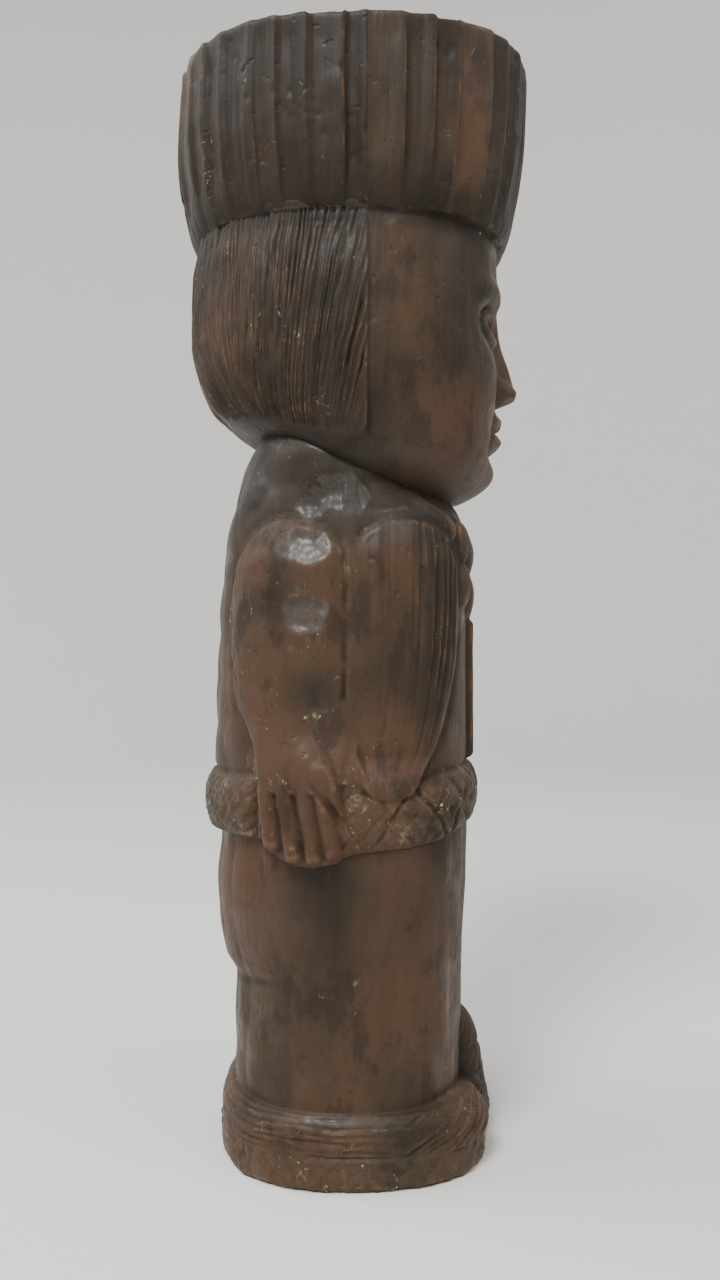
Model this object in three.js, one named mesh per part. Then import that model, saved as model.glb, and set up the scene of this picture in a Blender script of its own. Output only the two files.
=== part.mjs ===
// A column-shaped figure carved from one block of wood: a ring of upright feathers over a head
// with combed hair, a long tunic with the arms at its sides, a rolled belt, close trousers and a
// mound under the feet. The figure looks along -Y, its right arm is at -X, and +Z is up.
// All lengths are millimetres. The origin is the middle of the underside.

import * as THREE from 'three';
import { mergeVertices } from 'three/addons/utils/BufferGeometryUtils.js';

// Heights of the lines that divide the carving, from the ground up.
const SLAB_TOP = 8.3;
const HEM = 18.8;
const CROWN_FOOT = 252.5;
const HEIGHT = 300;

// How far the wood reaches from the upright axis to the front, to the back and to each side.
const CROWN = {
  front: [[252.5, 43.0], [256, 44.8], [262, 46.4], [270, 48.0], [282, 49.4], [300, 50.0]],
  back: [[252.5, 44.4], [256, 46.2], [262, 47.8], [270, 49.4], [279, 50.0], [300, 48.8]],
  half: [[252.5, 40.0], [256, 41.6], [262, 42.8], [272, 44.2], [284, 45.0], [300, 45.0]],
  rim: 3,
  rimDrop: 0.4,
  dish: 3,
};
const HEAD = {
  front: [[181, 39.0], [195, 40.0], [215, 41.2], [235, 41.6], [253, 41.6]],
  back: [[198, 45.4], [216, 45.6], [228, 46.2], [243, 45.6], [253, 44.0]],
  half: [[181, 37.0], [195, 38.6], [215, 40.0], [235, 39.8], [253, 38.6]],
  cheek: [[181, 24.0], [188, 29.0], [197, 34.6], [211, 37.8], [228, 38.4], [253, 37.8]],
};
const TORSO = {
  front: [[104, 33.0], [125, 32.8], [145, 32.8], [158, 33.0], [168, 32.8], [178, 32.2]],
  back: [[104, 39.6], [115, 39.0], [135, 38.4], [149, 37.8], [163, 36.4], [185, 34.0]],
  half: [[104, 35.6], [120, 35.8], [140, 36.4], [158, 36.4], [170, 35.6], [188, 34.6]],
};
const BELT = { front: 35.8, back: 41.8, half: 40.2, fold: 4, middle: 95.5, halfWidth: 9 };
const TROUSERS = {
  front: [[19, 30.8], [35, 31.4], [56, 31.8], [77, 32.6], [87, 33.0]],
  back: [[19, 33.6], [40, 33.4], [47, 33.2], [50.5, 34], [54, 36], [66, 38.2], [74, 38.6], [87, 37.2]],
  half: [[19, 35.0], [50, 35.2], [70, 36.0], [87, 36.6]],
};
const MOUND = { front: 38.2, back: 37.2, half: 38.5, shoulder: 8, setback: 3.8, step: 0.9, stepHalf: 0.6 };
const SQUARENESS = { crownFront: 2.6, crownBack: 2.3, head: 2.4, torso: 2.3, belt: 2.4, mound: 2.5 };

// Lines that rise and fall round the figure: [forward, value], where forward is the cosine of the
// angle from the front. It is 1 in front, 0 at each side and -1 behind.
const JAW = [[-1, 199.4], [-0.5, 196.4], [0, 188.6], [1, 181]];
const NECK_SHARE = [[-1, 0.57], [0, 0.88], [1, 0.74]];
const NECK_RISE = [[-1, 27], [0, 11], [1, 10]];
const SHOULDER_DROP = [[-1, 30], [0, 20], [1, 12]];
const BELT_FOOT = [
  [-1, 89.4], [-0.62, 89.6], [-0.44, 86], [-0.3, 84.6], [-0.12, 85.2],
  [0, 86.1], [0.45, 87.8], [0.65, 89.2], [1, 91.4],
];
const BELT_TOP = [[-1, 106.4], [-0.5, 106], [0, 104.5], [0.5, 105.5], [0.8, 107.4], [1, 108.2]];

// The knob in front of the ankles: how far it reaches forward at each height.
const KNOB = {
  reach: [[0, 39.6], [8.3, 40.0], [15, 38.8], [25.4, 37.0], [30, 35.8], [34, 33.4], [36.5, 29.5]],
  top: 36.5,
  halfWidth: 12,
  roundness: 8,
};

const FLUTES = {
  count: 38,
  depth: 2.4,
  footShare: 0.45,
  unevenness: 0.16,
  unevenTurn: 2.3,
  valley: 0.68,
  fadeHeight: 14,
  tipDrop: 1.8,
  tipTurn: 9.1,
};
// The hair starts at this angle from the front. Its locks hang in waves down to the nape.
const HAIR = { edge: 1.46, grooveDepth: 2.3, sway: 3.2, swayLength: 30 };
// Arms and hands are tapered lines: [front, height, radius] of each end.
const ARM = { shoulder: [-16.3, 159.5, 15.2], wrist: [-14.5, 113, 8.6], knuckles: [-12.6, 101, 11.4] };
const SLEEVE = { raised: [[103, 5.2], [112, 4.6], [122, 3.4], [175, 3.2]], round: 3.6, groove: 1.4 };
// Four fingers and the thumb: [front, height] of the knuckle and of the tip, on a level belt.
const FINGERS = [
  [[-22.0, 104], [-20.2, 90]],
  [[-17.6, 104], [-15.1, 88.4]],
  [[-13.0, 104], [-10.2, 87.6]],
  [[-8.6, 104], [-5.4, 88.4]],
  [[-4.0, 104], [-1.4, 98]],
];
const THUMB = { root: [-8.4, 113, 3], joint: [-4.0, 104, 2.6], raised: 4.4 };
const HAND = { raised: 2.6, gap: 0.4, fingerRadius: 2.3 };
const LAPPET = {
  back: [[100, 8], [103, 3.5], [110, 0.6], [125, 0], [160, 0], [166, 1.5], [171, 6], [175, 13]],
  front: [[100, 9], [103.5, 15], [114, 21], [126, 25], [139, 28.3], [153, 28.3], [164, 25], [175, 14]],
  raised: 2.4,
};
const SASH = { halfWidth: 6.2, top: 148, raised: 2, fold: 0.6 };
const DIVIDE = { depth: 1.6, width: 2.2, frontTop: 60 };
const PENDANTS = { rows: [[166, 7], [153.5, 5]], pitch: 8.2, halfWidth: 3.9, halfHeight: 6.3, raised: 2.6 };
const NECKLINE_BEND = 75;
const LOZENGES = { count: 22, depth: 1.7 };
const FEET = { side: 23, halfWidth: 11, top: 16, raised: 2.2, cleft: 12.5, cleftDepth: 2 };

// The face is a plain one, drawn from the usual thirds and the five-eye rule.
const FACE = {
  eye: { side: 14, height: 228.5, halfWidth: 7.4, halfHeight: 3.9, socket: 4.2, bulge: 2.8 },
  brow: { height: 237.5, raised: 2 },
  nose: { root: 234, tip: 213.5, foot: 210, raised: 6.4, wings: 2.8 },
  mouth: { height: 201.8, halfWidth: 12, raised: 3 },
  chin: { height: 188, raised: 1.8 },
};

const smooth = (from, to, x) => {
  const t = THREE.MathUtils.clamp((x - from) / (to - from), 0, 1);
  return t * t * (3 - 2 * t);
};
const bell = (x, width) => Math.exp(-((x / width) ** 2));
const fromFront = (angle) => Math.abs(Math.atan2(Math.sin(angle), Math.cos(angle)));

// A smooth line through a few [position, value] points that never overshoots them.
function curve(points, x) {
  const last = points.length - 1;
  const at = THREE.MathUtils.clamp(x, points[0][0], points[last][0]);
  const slope = (i) => (points[i + 1][1] - points[i][1]) / (points[i + 1][0] - points[i][0]);
  const tangent = (i) => {
    if (i === 0) return slope(0);
    if (i === last) return slope(last - 1);
    const before = slope(i - 1);
    const after = slope(i);
    return before * after > 0 ? (2 * before * after) / (before + after) : 0;
  };
  let i = 0;
  while (i < last - 1 && at > points[i + 1][0]) i += 1;
  const step = points[i + 1][0] - points[i][0];
  const t = (at - points[i][0]) / step;
  return points[i][1] * (1 + 2 * t) * (1 - t) ** 2 + tangent(i) * step * t * (1 - t) ** 2
    + points[i + 1][1] * t * t * (3 - 2 * t) + tangent(i + 1) * step * t * t * (t - 1);
}

// The radius of a squarish oval at an angle that is counted from the front.
function oval(angle, front, back, half, squareness) {
  const forward = Math.cos(angle);
  const reach = forward > 0 ? front : back;
  const sum = Math.abs(forward / reach) ** squareness + Math.abs(Math.sin(angle) / half) ** squareness;
  return sum ** (-1 / squareness);
}

const block = (shape, angle, height, squareness) =>
  oval(angle, curve(shape.front, height), curve(shape.back, height), curve(shape.half, height), squareness);

// The crease between the jaw and the shoulders falls from the nape to the chin.
const jawHeight = (angle) => curve(JAW, Math.cos(angle));

// The belt's own edges rise and fall. Its cuts and the fingers are laid out on a level belt.
const beltLow = BELT.middle - BELT.halfWidth;
const beltHigh = BELT.middle + BELT.halfWidth;
const footOfBelt = (angle) => curve(BELT_FOOT, Math.cos(angle));
const topOfBelt = (angle) => curve(BELT_TOP, Math.cos(angle));

function headRadius(angle, height) {
  const forward = Math.cos(angle);
  const inset = curve(NECK_SHARE, forward);
  const rise = curve(NECK_RISE, forward);
  const t = THREE.MathUtils.clamp((height - jawHeight(angle)) / rise, 0, 1);
  const inHair = fromFront(angle) > HAIR.edge;
  const half = curve(inHair ? HEAD.half : HEAD.cheek, height);
  const plan = oval(angle, curve(HEAD.front, height), curve(HEAD.back, height), half, SQUARENESS.head);
  const hollow = 0.5 + 0.25 * smooth(-0.6, -0.2, forward);
  return plan * (inset + (1 - inset) * (1 - (1 - t) ** 2) ** hollow);
}

function torsoRadius(angle, height) {
  const jaw = jawHeight(angle);
  const neck = headRadius(angle, jaw);
  const drop = curve(SHOULDER_DROP, Math.cos(angle));
  const t = THREE.MathUtils.clamp((jaw - height) / drop, 0, 1);
  const full = block(TORSO, angle, height, SQUARENESS.torso);
  return neck + (full - neck) * (1 - (1 - t) ** 2.2);
}

function beltRadius(angle, height) {
  const t = Math.min(Math.abs(height - BELT.middle) / BELT.halfWidth, 1);
  const full = oval(angle, BELT.front, BELT.back, BELT.half, SQUARENESS.belt);
  return full - BELT.fold * (1 - Math.sqrt(1 - t ** 3));
}

function knobRadius(angle, height) {
  const reach = curve(KNOB.reach, height);
  const t = Math.abs(reach * Math.sin(angle)) / KNOB.halfWidth;
  const inside = Math.cos(angle) > 0 && height < KNOB.top && t < 1;
  return inside ? reach - KNOB.roundness * (1 - Math.sqrt(1 - t * t)) : 0;
}

const trouserRadius = (angle, height) =>
  Math.max(block(TROUSERS, angle, height, SQUARENESS.torso), knobRadius(angle, height));

function moundRadius(angle, height) {
  const full = oval(angle, MOUND.front, MOUND.back, MOUND.half, SQUARENESS.mound);
  const t = THREE.MathUtils.clamp((height - (HEM - MOUND.shoulder)) / MOUND.shoulder, 0, 1);
  return Math.max(full - MOUND.setback * (1 - Math.sqrt(1 - t * t)), knobRadius(angle, height));
}

// Angles that divide the crown's plan into equal steps along its edge, starting at the front.
function evenAngles() {
  const steps = 1440;
  const lengths = [0];
  const point = (i) => {
    const angle = (2 * Math.PI * i) / steps;
    const squareness = Math.cos(angle) > 0 ? SQUARENESS.crownFront : SQUARENESS.crownBack;
    const radius = block(CROWN, angle, HEIGHT, squareness);
    return [radius * Math.sin(angle), radius * Math.cos(angle)];
  };
  for (let i = 1; i <= steps; i += 1) {
    const [x0, y0] = point(i - 1);
    const [x1, y1] = point(i);
    lengths.push(lengths[i - 1] + Math.hypot(x1 - x0, y1 - y0));
  }
  return (share) => {
    const wanted = (share - Math.floor(share)) * lengths[steps];
    let i = 1;
    while (lengths[i] < wanted) i += 1;
    const part = (wanted - lengths[i - 1]) / (lengths[i] - lengths[i - 1]);
    return (2 * Math.PI * (i - 1 + part)) / steps + 2 * Math.PI * Math.floor(share);
  };
}
const angleAt = evenAngles();

// Every flute has a ridge and a valley, and no two flutes are quite as wide.
const ridgeShare = (i) => (i + FLUTES.unevenness * Math.sin(FLUTES.unevenTurn * i)) / FLUTES.count;
const crownColumns = [];
for (let i = 0; i < FLUTES.count; i += 1) {
  const next = i + 1 < FLUTES.count ? ridgeShare(i + 1) : 1;
  const valley = ridgeShare(i) + FLUTES.valley * (next - ridgeShare(i));
  crownColumns.push({ angle: angleAt(ridgeShare(i)), valley: false });
  crownColumns.push({ angle: angleAt(valley), valley: true });
}

// Columns for a whole turn from [from, to, steps] stretches of half a turn.
function columnsOf(stretches) {
  const half = [];
  for (const [from, to, steps] of stretches) {
    for (let i = 0; i < steps; i += 1) half.push(from + ((to - from) * i) / steps);
  }
  const otherHalf = half.slice(1).reverse().map((angle) => 2 * Math.PI - angle);
  return [...half, Math.PI, ...otherHalf].map((angle, i) => ({ angle, valley: i % 2 === 1 }));
}
const headColumns = columnsOf([[0, 0.62, 11], [0.62, HAIR.edge, 6], [HAIR.edge + 0.01, Math.PI, 24]]);
const torsoColumns = columnsOf([[0, 0.74, 6], [0.74, 2.5, 23], [2.5, Math.PI, 4]]);
const legColumns = columnsOf([[0, 0.45, 6], [0.45, 1.2, 5], [1.2, Math.PI, 12]]);

function crownRadius(column, height) {
  const forward = Math.cos(column.angle) > 0;
  const full = block(CROWN, column.angle, height, forward ? SQUARENESS.crownFront : SQUARENESS.crownBack);
  const fade = smooth(CROWN_FOOT, CROWN_FOOT + FLUTES.fadeHeight, height);
  const depth = FLUTES.depth * (FLUTES.footShare + (1 - FLUTES.footShare) * fade);
  return full - (column.valley ? depth : 0);
}

// Signed distance into a line that has one radius at each end. It is positive inside.
function insideTaper(front, height, [f0, h0, r0], [f1, h1, r1]) {
  const length = (f1 - f0) ** 2 + (h1 - h0) ** 2;
  const t = THREE.MathUtils.clamp(((front - f0) * (f1 - f0) + (height - h0) * (h1 - h0)) / length, 0, 1);
  return r0 + (r1 - r0) * t - Math.hypot(front - f0 - t * (f1 - f0), height - h0 - t * (h1 - h0));
}

function armRelief(front, height) {
  const arm = insideTaper(front, height, ARM.shoulder, ARM.wrist);
  const inside = Math.max(arm, insideTaper(front, height, ARM.wrist, ARM.knuckles));
  const thumb = THUMB.raised * smooth(-0.5, 1.5, insideTaper(front, height, THUMB.root, THUMB.joint));
  const sleeve = curve(SLEEVE.raised, height) * smooth(0, SLEEVE.round, inside);
  return Math.max(sleeve, thumb) - SLEEVE.groove * bell(inside, 1.6);
}

function lappetRelief(front, height) {
  const inside = Math.min(front - curve(LAPPET.back, height), curve(LAPPET.front, height) - front);
  const ends = Math.min(height - 100, 175 - height);
  return LAPPET.raised * smooth(-0.6, 1.6, Math.min(inside, ends));
}

function chestRelief(side, height) {
  const edge = SASH.halfWidth - Math.abs(side);
  const fold = SASH.fold * Math.cos((2 * Math.PI * side) / SASH.halfWidth);
  let raised = (SASH.raised + fold) * smooth(-0.8, 0.8, edge) * smooth(SASH.top + 2, SASH.top - 2, height);
  for (const [level, count] of PENDANTS.rows) {
    for (let i = 0; i < count; i += 1) {
      const middle = (i - (count - 1) / 2) * PENDANTS.pitch;
      const up = height - level - (middle * middle) / NECKLINE_BEND;
      const off = Math.hypot((side - middle) / PENDANTS.halfWidth, up / PENDANTS.halfHeight);
      raised = Math.max(raised, PENDANTS.raised * Math.sqrt(Math.max(0, 1 - off * off)));
    }
  }
  return raised;
}

function faceRelief(side, height) {
  const { eye, brow, nose, mouth, chin } = FACE;
  const across = Math.abs(side);
  const lid = Math.hypot((across - eye.side) / eye.halfWidth, (height - eye.height) / eye.halfHeight);
  const down = THREE.MathUtils.clamp((nose.root - height) / (nose.root - nose.tip), 0, 1);
  const underNose = smooth(nose.foot - 1.2, nose.foot + 2, height);
  const browLine = brow.height - ((across - 14) / 11) ** 2;
  let out = -eye.socket * bell(across - eye.side + 1, 10) * bell(height - eye.height, 6);
  out += eye.bulge * Math.sqrt(Math.max(0, 1 - lid * lid));
  out += brow.raised * bell(height - browLine, 2.6) * smooth(29, 23, across) * smooth(1, 5, across);
  out += (1 + (nose.raised - 1) * down) * bell(side, 3.2 + 1.8 * down) * underNose
    * smooth(nose.root + 6, nose.root - 1, height);
  out += nose.wings * bell(across - 5, 2.3) * bell(height - nose.tip, 3) * underNose;
  out += 1.3 * bell(across - 20, 9) * bell(height - 214, 8);
  const lips = mouth.raised * Math.sqrt(Math.max(0, 1 - (side / mouth.halfWidth) ** 2));
  out += lips * (bell(height - mouth.height - 2.9, 2.1) + bell(height - mouth.height + 3.1, 2.3));
  out -= 1.6 * bell(height - 194.9, 2.5) * bell(side, 12);
  out += chin.raised * bell(height - chin.height, 5) * bell(side, 10);
  return out;
}

// Locks of hair: each valley between two of them sways a little on its way down.
function headPoint(column, height) {
  const inHair = fromFront(column.angle) > HAIR.edge;
  const sway = inHair ? HAIR.sway * Math.sin((height - CROWN_FOOT) / HAIR.swayLength) : 0;
  const turned = fromFront(column.angle) < 3 ? sway * Math.sign(Math.PI - column.angle) : 0;
  const angle = column.angle + (turned / 40) * smooth(HAIR.edge, HAIR.edge + 0.3, fromFront(column.angle));
  const radius = headRadius(column.angle, height);
  const side = radius * Math.sin(angle);
  const cut = column.valley && inHair ? smooth(0, 5, height - jawHeight(column.angle)) : 0;
  const onFace = smooth(HAIR.edge - 0.1, HAIR.edge - 0.5, fromFront(column.angle));
  return { angle, radius: radius - HAIR.grooveDepth * cut, forward: faceRelief(side, height) * onFace };
}

function torsoPoint({ angle }, height) {
  const radius = torsoRadius(angle, height);
  const front = radius * Math.cos(angle);
  const side = radius * Math.sin(angle);
  const onSide = smooth(16, 22, Math.abs(side));
  let out = Math.max(armRelief(front, height), lappetRelief(front, height)) * onSide;
  if (front > 0) out += chestRelief(side, height) * smooth(30, 24, Math.abs(side));
  return { angle, radius: radius + out * smooth(0, 6, jawHeight(angle) - height) };
}

// The angle at which the belt's surface lies that far forward.
function angleOfFront(front, height) {
  let angle = Math.PI / 2;
  for (let i = 0; i < 6; i += 1) angle = Math.acos(front / beltRadius(angle, height));
  return angle;
}

// The belt has lozenge cuts all round, and between them columns that follow the fingers.
function beltColumns(height) {
  const centres = FINGERS.map(([knuckle, tip]) => {
    const t = THREE.MathUtils.clamp((knuckle[1] - height) / (knuckle[1] - tip[1]), 0, 1);
    return { front: knuckle[0] + t * (tip[0] - knuckle[0]), tip: tip[1] };
  });
  const gaps = centres.slice(1).map(({ front }, i) => (front + centres[i].front) / 2);
  const raised = (tip) => HAND.raised * smooth(tip - 2, tip + 1, height);
  const hand = centres.map(({ front, tip }) => ({ front, relief: raised(tip) }));
  gaps.forEach((front) => hand.push({ front, relief: HAND.gap }));
  for (const [{ front }, way] of [[centres[0], -1], [centres[centres.length - 1], 1]]) {
    hand.push({ front: front + way * HAND.fingerRadius, relief: 0 });
  }
  const fingers = hand.map(({ front, relief }) => ({ angle: angleOfFront(front, height), relief }));
  const first = Math.min(...fingers.map(({ angle }) => angle)) - 0.03;
  const last = Math.max(...fingers.map(({ angle }) => angle)) + 0.03;
  const level = Math.round((4 * (height - beltLow)) / (beltHigh - beltLow));
  const cuts = [];
  for (let i = 0; i < LOZENGES.count * 4; i += 1) {
    const angle = (Math.PI * i) / (LOZENGES.count * 2);
    const onCut = (i + level) % 4 === 0 || (i - level + 4) % 4 === 0;
    const middle = (i + level) % 2 === 0;
    if (fromFront(angle) < first || fromFront(angle) > last) {
      cuts.push({ angle, relief: onCut ? -LOZENGES.depth : middle ? 0.4 : 0 });
    }
  }
  const others = fingers.map(({ angle, relief }) => ({ angle: 2 * Math.PI - angle, relief }));
  return [...cuts, ...fingers, ...others].sort((a, b) => a.angle - b.angle);
}

function beltPoint({ angle, relief }, height) {
  const onRoll = smooth(0, 1.5, height - beltLow) * smooth(0, 1.5, beltHigh - height);
  return { angle, radius: beltRadius(angle, height) + (relief > 0.4 ? relief : relief * onRoll) };
}

function trouserPoint({ angle }, height) {
  const radius = trouserRadius(angle, height);
  const inFront = Math.cos(angle) > 0;
  const fade = inFront ? smooth(DIVIDE.frontTop + 4, DIVIDE.frontTop - 4, height) : 1;
  const divide = DIVIDE.depth * bell(radius * Math.sin(angle), DIVIDE.width) * fade;
  return { angle, radius: radius - (height > KNOB.top || !inFront ? divide : 0) };
}

function moundPoint({ angle }, height) {
  const radius = moundRadius(angle, height);
  const side = Math.abs(radius * Math.sin(angle));
  const foot = Math.sqrt(Math.max(0, 1 - ((side - FEET.side) / FEET.halfWidth) ** 2));
  const onFoot = Math.cos(angle) > 0 ? foot * smooth(FEET.top + 2, FEET.top - 4, height) : 0;
  const cleft = Math.cos(angle) > 0 ? FEET.cleftDepth * bell(side - FEET.cleft, 2.4) : 0;
  const step = MOUND.step * smooth(SLAB_TOP - MOUND.stepHalf, SLAB_TOP + MOUND.stepHalf, height);
  return { angle, radius: radius + FEET.raised * onFoot - cleft - step };
}

// A row of points round the figure: for each column its height, its radius and what it adds forward.
function row(columns, heightOf, pointOf) {
  return columns.map((column) => {
    const z = heightOf(column);
    const { angle, radius, forward = 0 } = pointOf(column, z);
    return { angle: column.angle, x: -radius * Math.sin(angle), y: -radius * Math.cos(angle) - forward, z };
  });
}

// Rows between two slanted lines keep the same share of the way up at every column.
const between = (low, high, share) => ({ angle }) => low(angle) + (high(angle) - low(angle)) * share;

// The heights of the rows, and for the slanted ones how far up each row lies.
const MOUND_ROWS = [0, SLAB_TOP - MOUND.stepHalf, SLAB_TOP + MOUND.stepHalf, 12, 15.5, 17.8, HEM];
const LEG_ROWS = [HEM + 0.4, 24, 30, 34, 36.6, 46, 51, 54.5, 62, 74];
const BELT_ROWS = [beltLow, 88, 91, 95.5, 100, 103, beltHigh];
const TORSO_ROWS = [0.01, 0.07, 0.14, 0.22, 0.32, 0.42, 0.52, 0.61, 0.69, 0.76, 0.83, 0.89, 0.95];
const FACE_ROWS = [
  181, 182.4, 185.5, 189, 192.5, 196, 199, 201.8, 204.4, 207.8,
  210.8, 213.5, 218.5, 224, 228.5, 232.5, 237, 242, 252.1,
];
const CROWN_ROWS = [CROWN_FOOT, 254.5, 263, 280];

function figureRows() {
  const rows = [];
  const level = (columns, heights, pointOf) => {
    for (const height of heights) rows.push(row(columns, () => height, pointOf));
  };
  level(legColumns, MOUND_ROWS, moundPoint);
  level(legColumns, LEG_ROWS, trouserPoint);
  rows.push(row(legColumns, ({ angle }) => footOfBelt(angle) - 0.4, trouserPoint));
  for (const height of BELT_ROWS) {
    const share = (height - beltLow) / (beltHigh - beltLow);
    const heightOf = between(footOfBelt, topOfBelt, share);
    rows.push(row(beltColumns(height), heightOf, (column) => beltPoint(column, height)));
  }
  for (const share of TORSO_ROWS) {
    rows.push(row(torsoColumns, between(topOfBelt, jawHeight, share), torsoPoint));
  }
  const chin = FACE_ROWS[0];
  for (const height of FACE_ROWS) {
    const share = (height - chin) / (CROWN_FOOT - chin);
    rows.push(row(headColumns, between(jawHeight, () => CROWN_FOOT, share), headPoint));
  }
  const crownPoint = (column, height) => ({ angle: column.angle, radius: crownRadius(column, height) });
  const rimPoint = (column, height) => {
    const { angle, radius } = crownPoint(column, height);
    return { angle, radius: radius - CROWN.rim };
  };
  const drop = ({ angle, valley }) => (0.5 - 0.5 * Math.sin(FLUTES.tipTurn * angle)) * (valley ? 1 : 0.6);
  const tip = (column) => HEIGHT - FLUTES.tipDrop * drop(column);
  level(crownColumns, CROWN_ROWS, crownPoint);
  rows.push(row(crownColumns, tip, crownPoint));
  rows.push(row(crownColumns, (column) => tip(column) - CROWN.rimDrop, rimPoint));
  return rows;
}

// Joins neighbouring rows with triangles, though they may have different columns, and closes both ends.
function skin(rows) {
  const points = [];
  const triangles = [];
  const starts = rows.map((line) => {
    const start = points.length;
    line.forEach((p) => points.push([p.x, p.y, p.z]));
    return start;
  });
  for (let k = 0; k + 1 < rows.length; k += 1) {
    const low = rows[k];
    const high = rows[k + 1];
    const lowAt = (i) => starts[k] + (i % low.length);
    const highAt = (j) => starts[k + 1] + (j % high.length);
    const turn = (line, i) => line[i % line.length].angle + (i >= line.length ? 2 * Math.PI : 0);
    let i = 0;
    let j = 0;
    while (i < low.length || j < high.length) {
      const nextLow = i < low.length ? turn(low, i + 1) : Infinity;
      const nextHigh = j < high.length ? turn(high, j + 1) : Infinity;
      if (nextLow <= nextHigh) {
        triangles.push([lowAt(i), highAt(j), lowAt(i + 1)]);
        i += 1;
      } else {
        triangles.push([lowAt(i), highAt(j), highAt(j + 1)]);
        j += 1;
      }
    }
  }
  const close = (line, start, height, up) => {
    const middle = points.push([0, 0, height]) - 1;
    line.forEach((_, i) => {
      const next = start + ((i + 1) % line.length);
      triangles.push(up ? [middle, next, start + i] : [middle, start + i, next]);
    });
  };
  close(rows[0], starts[0], 0, false);
  close(rows[rows.length - 1], starts[rows.length - 1], HEIGHT - CROWN.dish, true);
  const geometry = new THREE.BufferGeometry();
  geometry.setAttribute('position', new THREE.Float32BufferAttribute(points.flat(), 3));
  geometry.setIndex(triangles.flat());
  return mergeVertices(geometry, 1e-4);
}

const stainedWood = new THREE.MeshStandardMaterial({ color: 0x4a3226, roughness: 0.45, metalness: 0 });

const figure = new THREE.Mesh(skin(figureRows()), stainedWood);
figure.geometry.computeVertexNormals();
figure.name = 'carved_figure';

const sculpture = new THREE.Group();
sculpture.add(figure);

export default sculpture;
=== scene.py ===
import math

import bmesh
import bpy
import numpy as np
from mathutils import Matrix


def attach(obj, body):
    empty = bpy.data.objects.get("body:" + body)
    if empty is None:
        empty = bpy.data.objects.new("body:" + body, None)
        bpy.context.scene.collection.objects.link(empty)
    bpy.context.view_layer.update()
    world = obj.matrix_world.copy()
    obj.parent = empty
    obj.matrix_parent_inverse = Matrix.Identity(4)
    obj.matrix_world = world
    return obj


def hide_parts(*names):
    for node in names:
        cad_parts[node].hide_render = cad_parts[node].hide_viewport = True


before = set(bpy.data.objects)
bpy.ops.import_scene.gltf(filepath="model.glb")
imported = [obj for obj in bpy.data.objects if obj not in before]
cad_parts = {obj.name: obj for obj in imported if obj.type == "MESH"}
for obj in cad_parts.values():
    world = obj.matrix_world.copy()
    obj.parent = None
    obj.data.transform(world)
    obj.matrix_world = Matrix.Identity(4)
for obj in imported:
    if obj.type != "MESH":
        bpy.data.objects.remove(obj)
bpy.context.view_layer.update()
mm = 0.001
fullTurn = 2 * math.pi
apart = 50  # moves a pattern on one side, so that each side has its own marks

# Lengths in the tables are millimetres. Angles run from the front, by the right arm, to the back.
# Each part of the figure is cut on a grid of points that goes round it in level rows.


def unit(x):  # kept between 0 and 1
    return np.clip(x, 0, 1)


def smooth(start, end, x):
    t = unit((x - start) / (end - start))
    return t * t * (3 - 2 * t)


def bell(x, width):
    return np.exp(-((x / width) ** 2))


def blunt(x, width, power=2.4):  # like a bell, with a flatter top
    return np.exp(-np.abs(x / width) ** power)


def curve(points, x):  # a smooth line through a few (place, value) points that never overshoots
    px, py = np.array(points, float).T
    step = np.diff(px)
    slope = np.diff(py) / step
    tangent = np.concatenate([slope[:1], np.zeros(len(px) - 2), slope[-1:]])
    both = slope[:-1] * slope[1:]
    total = np.where(both > 0, slope[:-1] + slope[1:], 1)
    tangent[1:-1] = np.where(both > 0, 2 * both / total, 0)
    at = np.clip(x, px[0], px[-1])
    i = np.clip(np.searchsorted(px, at) - 1, 0, len(step) - 1)
    t = (at - px[i]) / step[i]
    start = py[i] * (1 + 2 * t) * (1 - t) ** 2 + tangent[i] * step[i] * t * (1 - t) ** 2
    return start + py[i + 1] * t * t * (3 - 2 * t) + tangent[i + 1] * step[i] * t * t * (t - 1)


def oval(angle, front, back, half, squareness):  # the radius of a squarish oval
    reach = np.where(np.cos(angle) > 0, front, back)
    total = np.abs(np.cos(angle) / reach) ** squareness + np.abs(np.sin(angle) / half) ** squareness
    return total ** (-1 / squareness)


def planOf(table, angle, z, squareness):  # the oval that a piece's table gives at each height
    front, back, half = (curve(table[side], z) for side in ("front", "back", "half"))
    return oval(angle, front, back, half, squareness)


def chance(x, y=0, z=0, seed=0):  # a repeatable number from 0 to 1 for each whole place
    n = np.asarray(x).astype(np.int64) * 73856093 ^ np.asarray(y).astype(np.int64) * 19349663
    n = n ^ np.asarray(z).astype(np.int64) * 83492791 ^ np.int64(seed * 26544357)
    n = ((n & 0xFFFFFFFF) ^ ((n & 0xFFFFFFFF) >> 13)) * 1274126177 & 0xFFFFFFFF
    return ((n ^ (n >> 16)) & 0xFFFF) / 65535


def noise(x, y, z=0.0, seed=0, wrap=0):  # soft hills from -1 to 1; x comes round again after wrap
    x, y, z = np.broadcast_arrays(x, y, z)
    ix, iy, iz = np.floor(x), np.floor(y), np.floor(z)
    fx, fy, fz = (f * f * (3 - 2 * f) for f in (x - ix, y - iy, z - iz))
    total = 0
    for dx in (0, 1):
        column = (ix + dx) % wrap if wrap else ix + dx
        for dy in (0, 1):
            for dz in (0, 1):
                weight = (fx if dx else 1 - fx) * (fy if dy else 1 - fy) * (fz if dz else 1 - fz)
                total = total + weight * chance(column, iy + dy, iz + dz, seed)
    return total * 2 - 1


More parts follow.
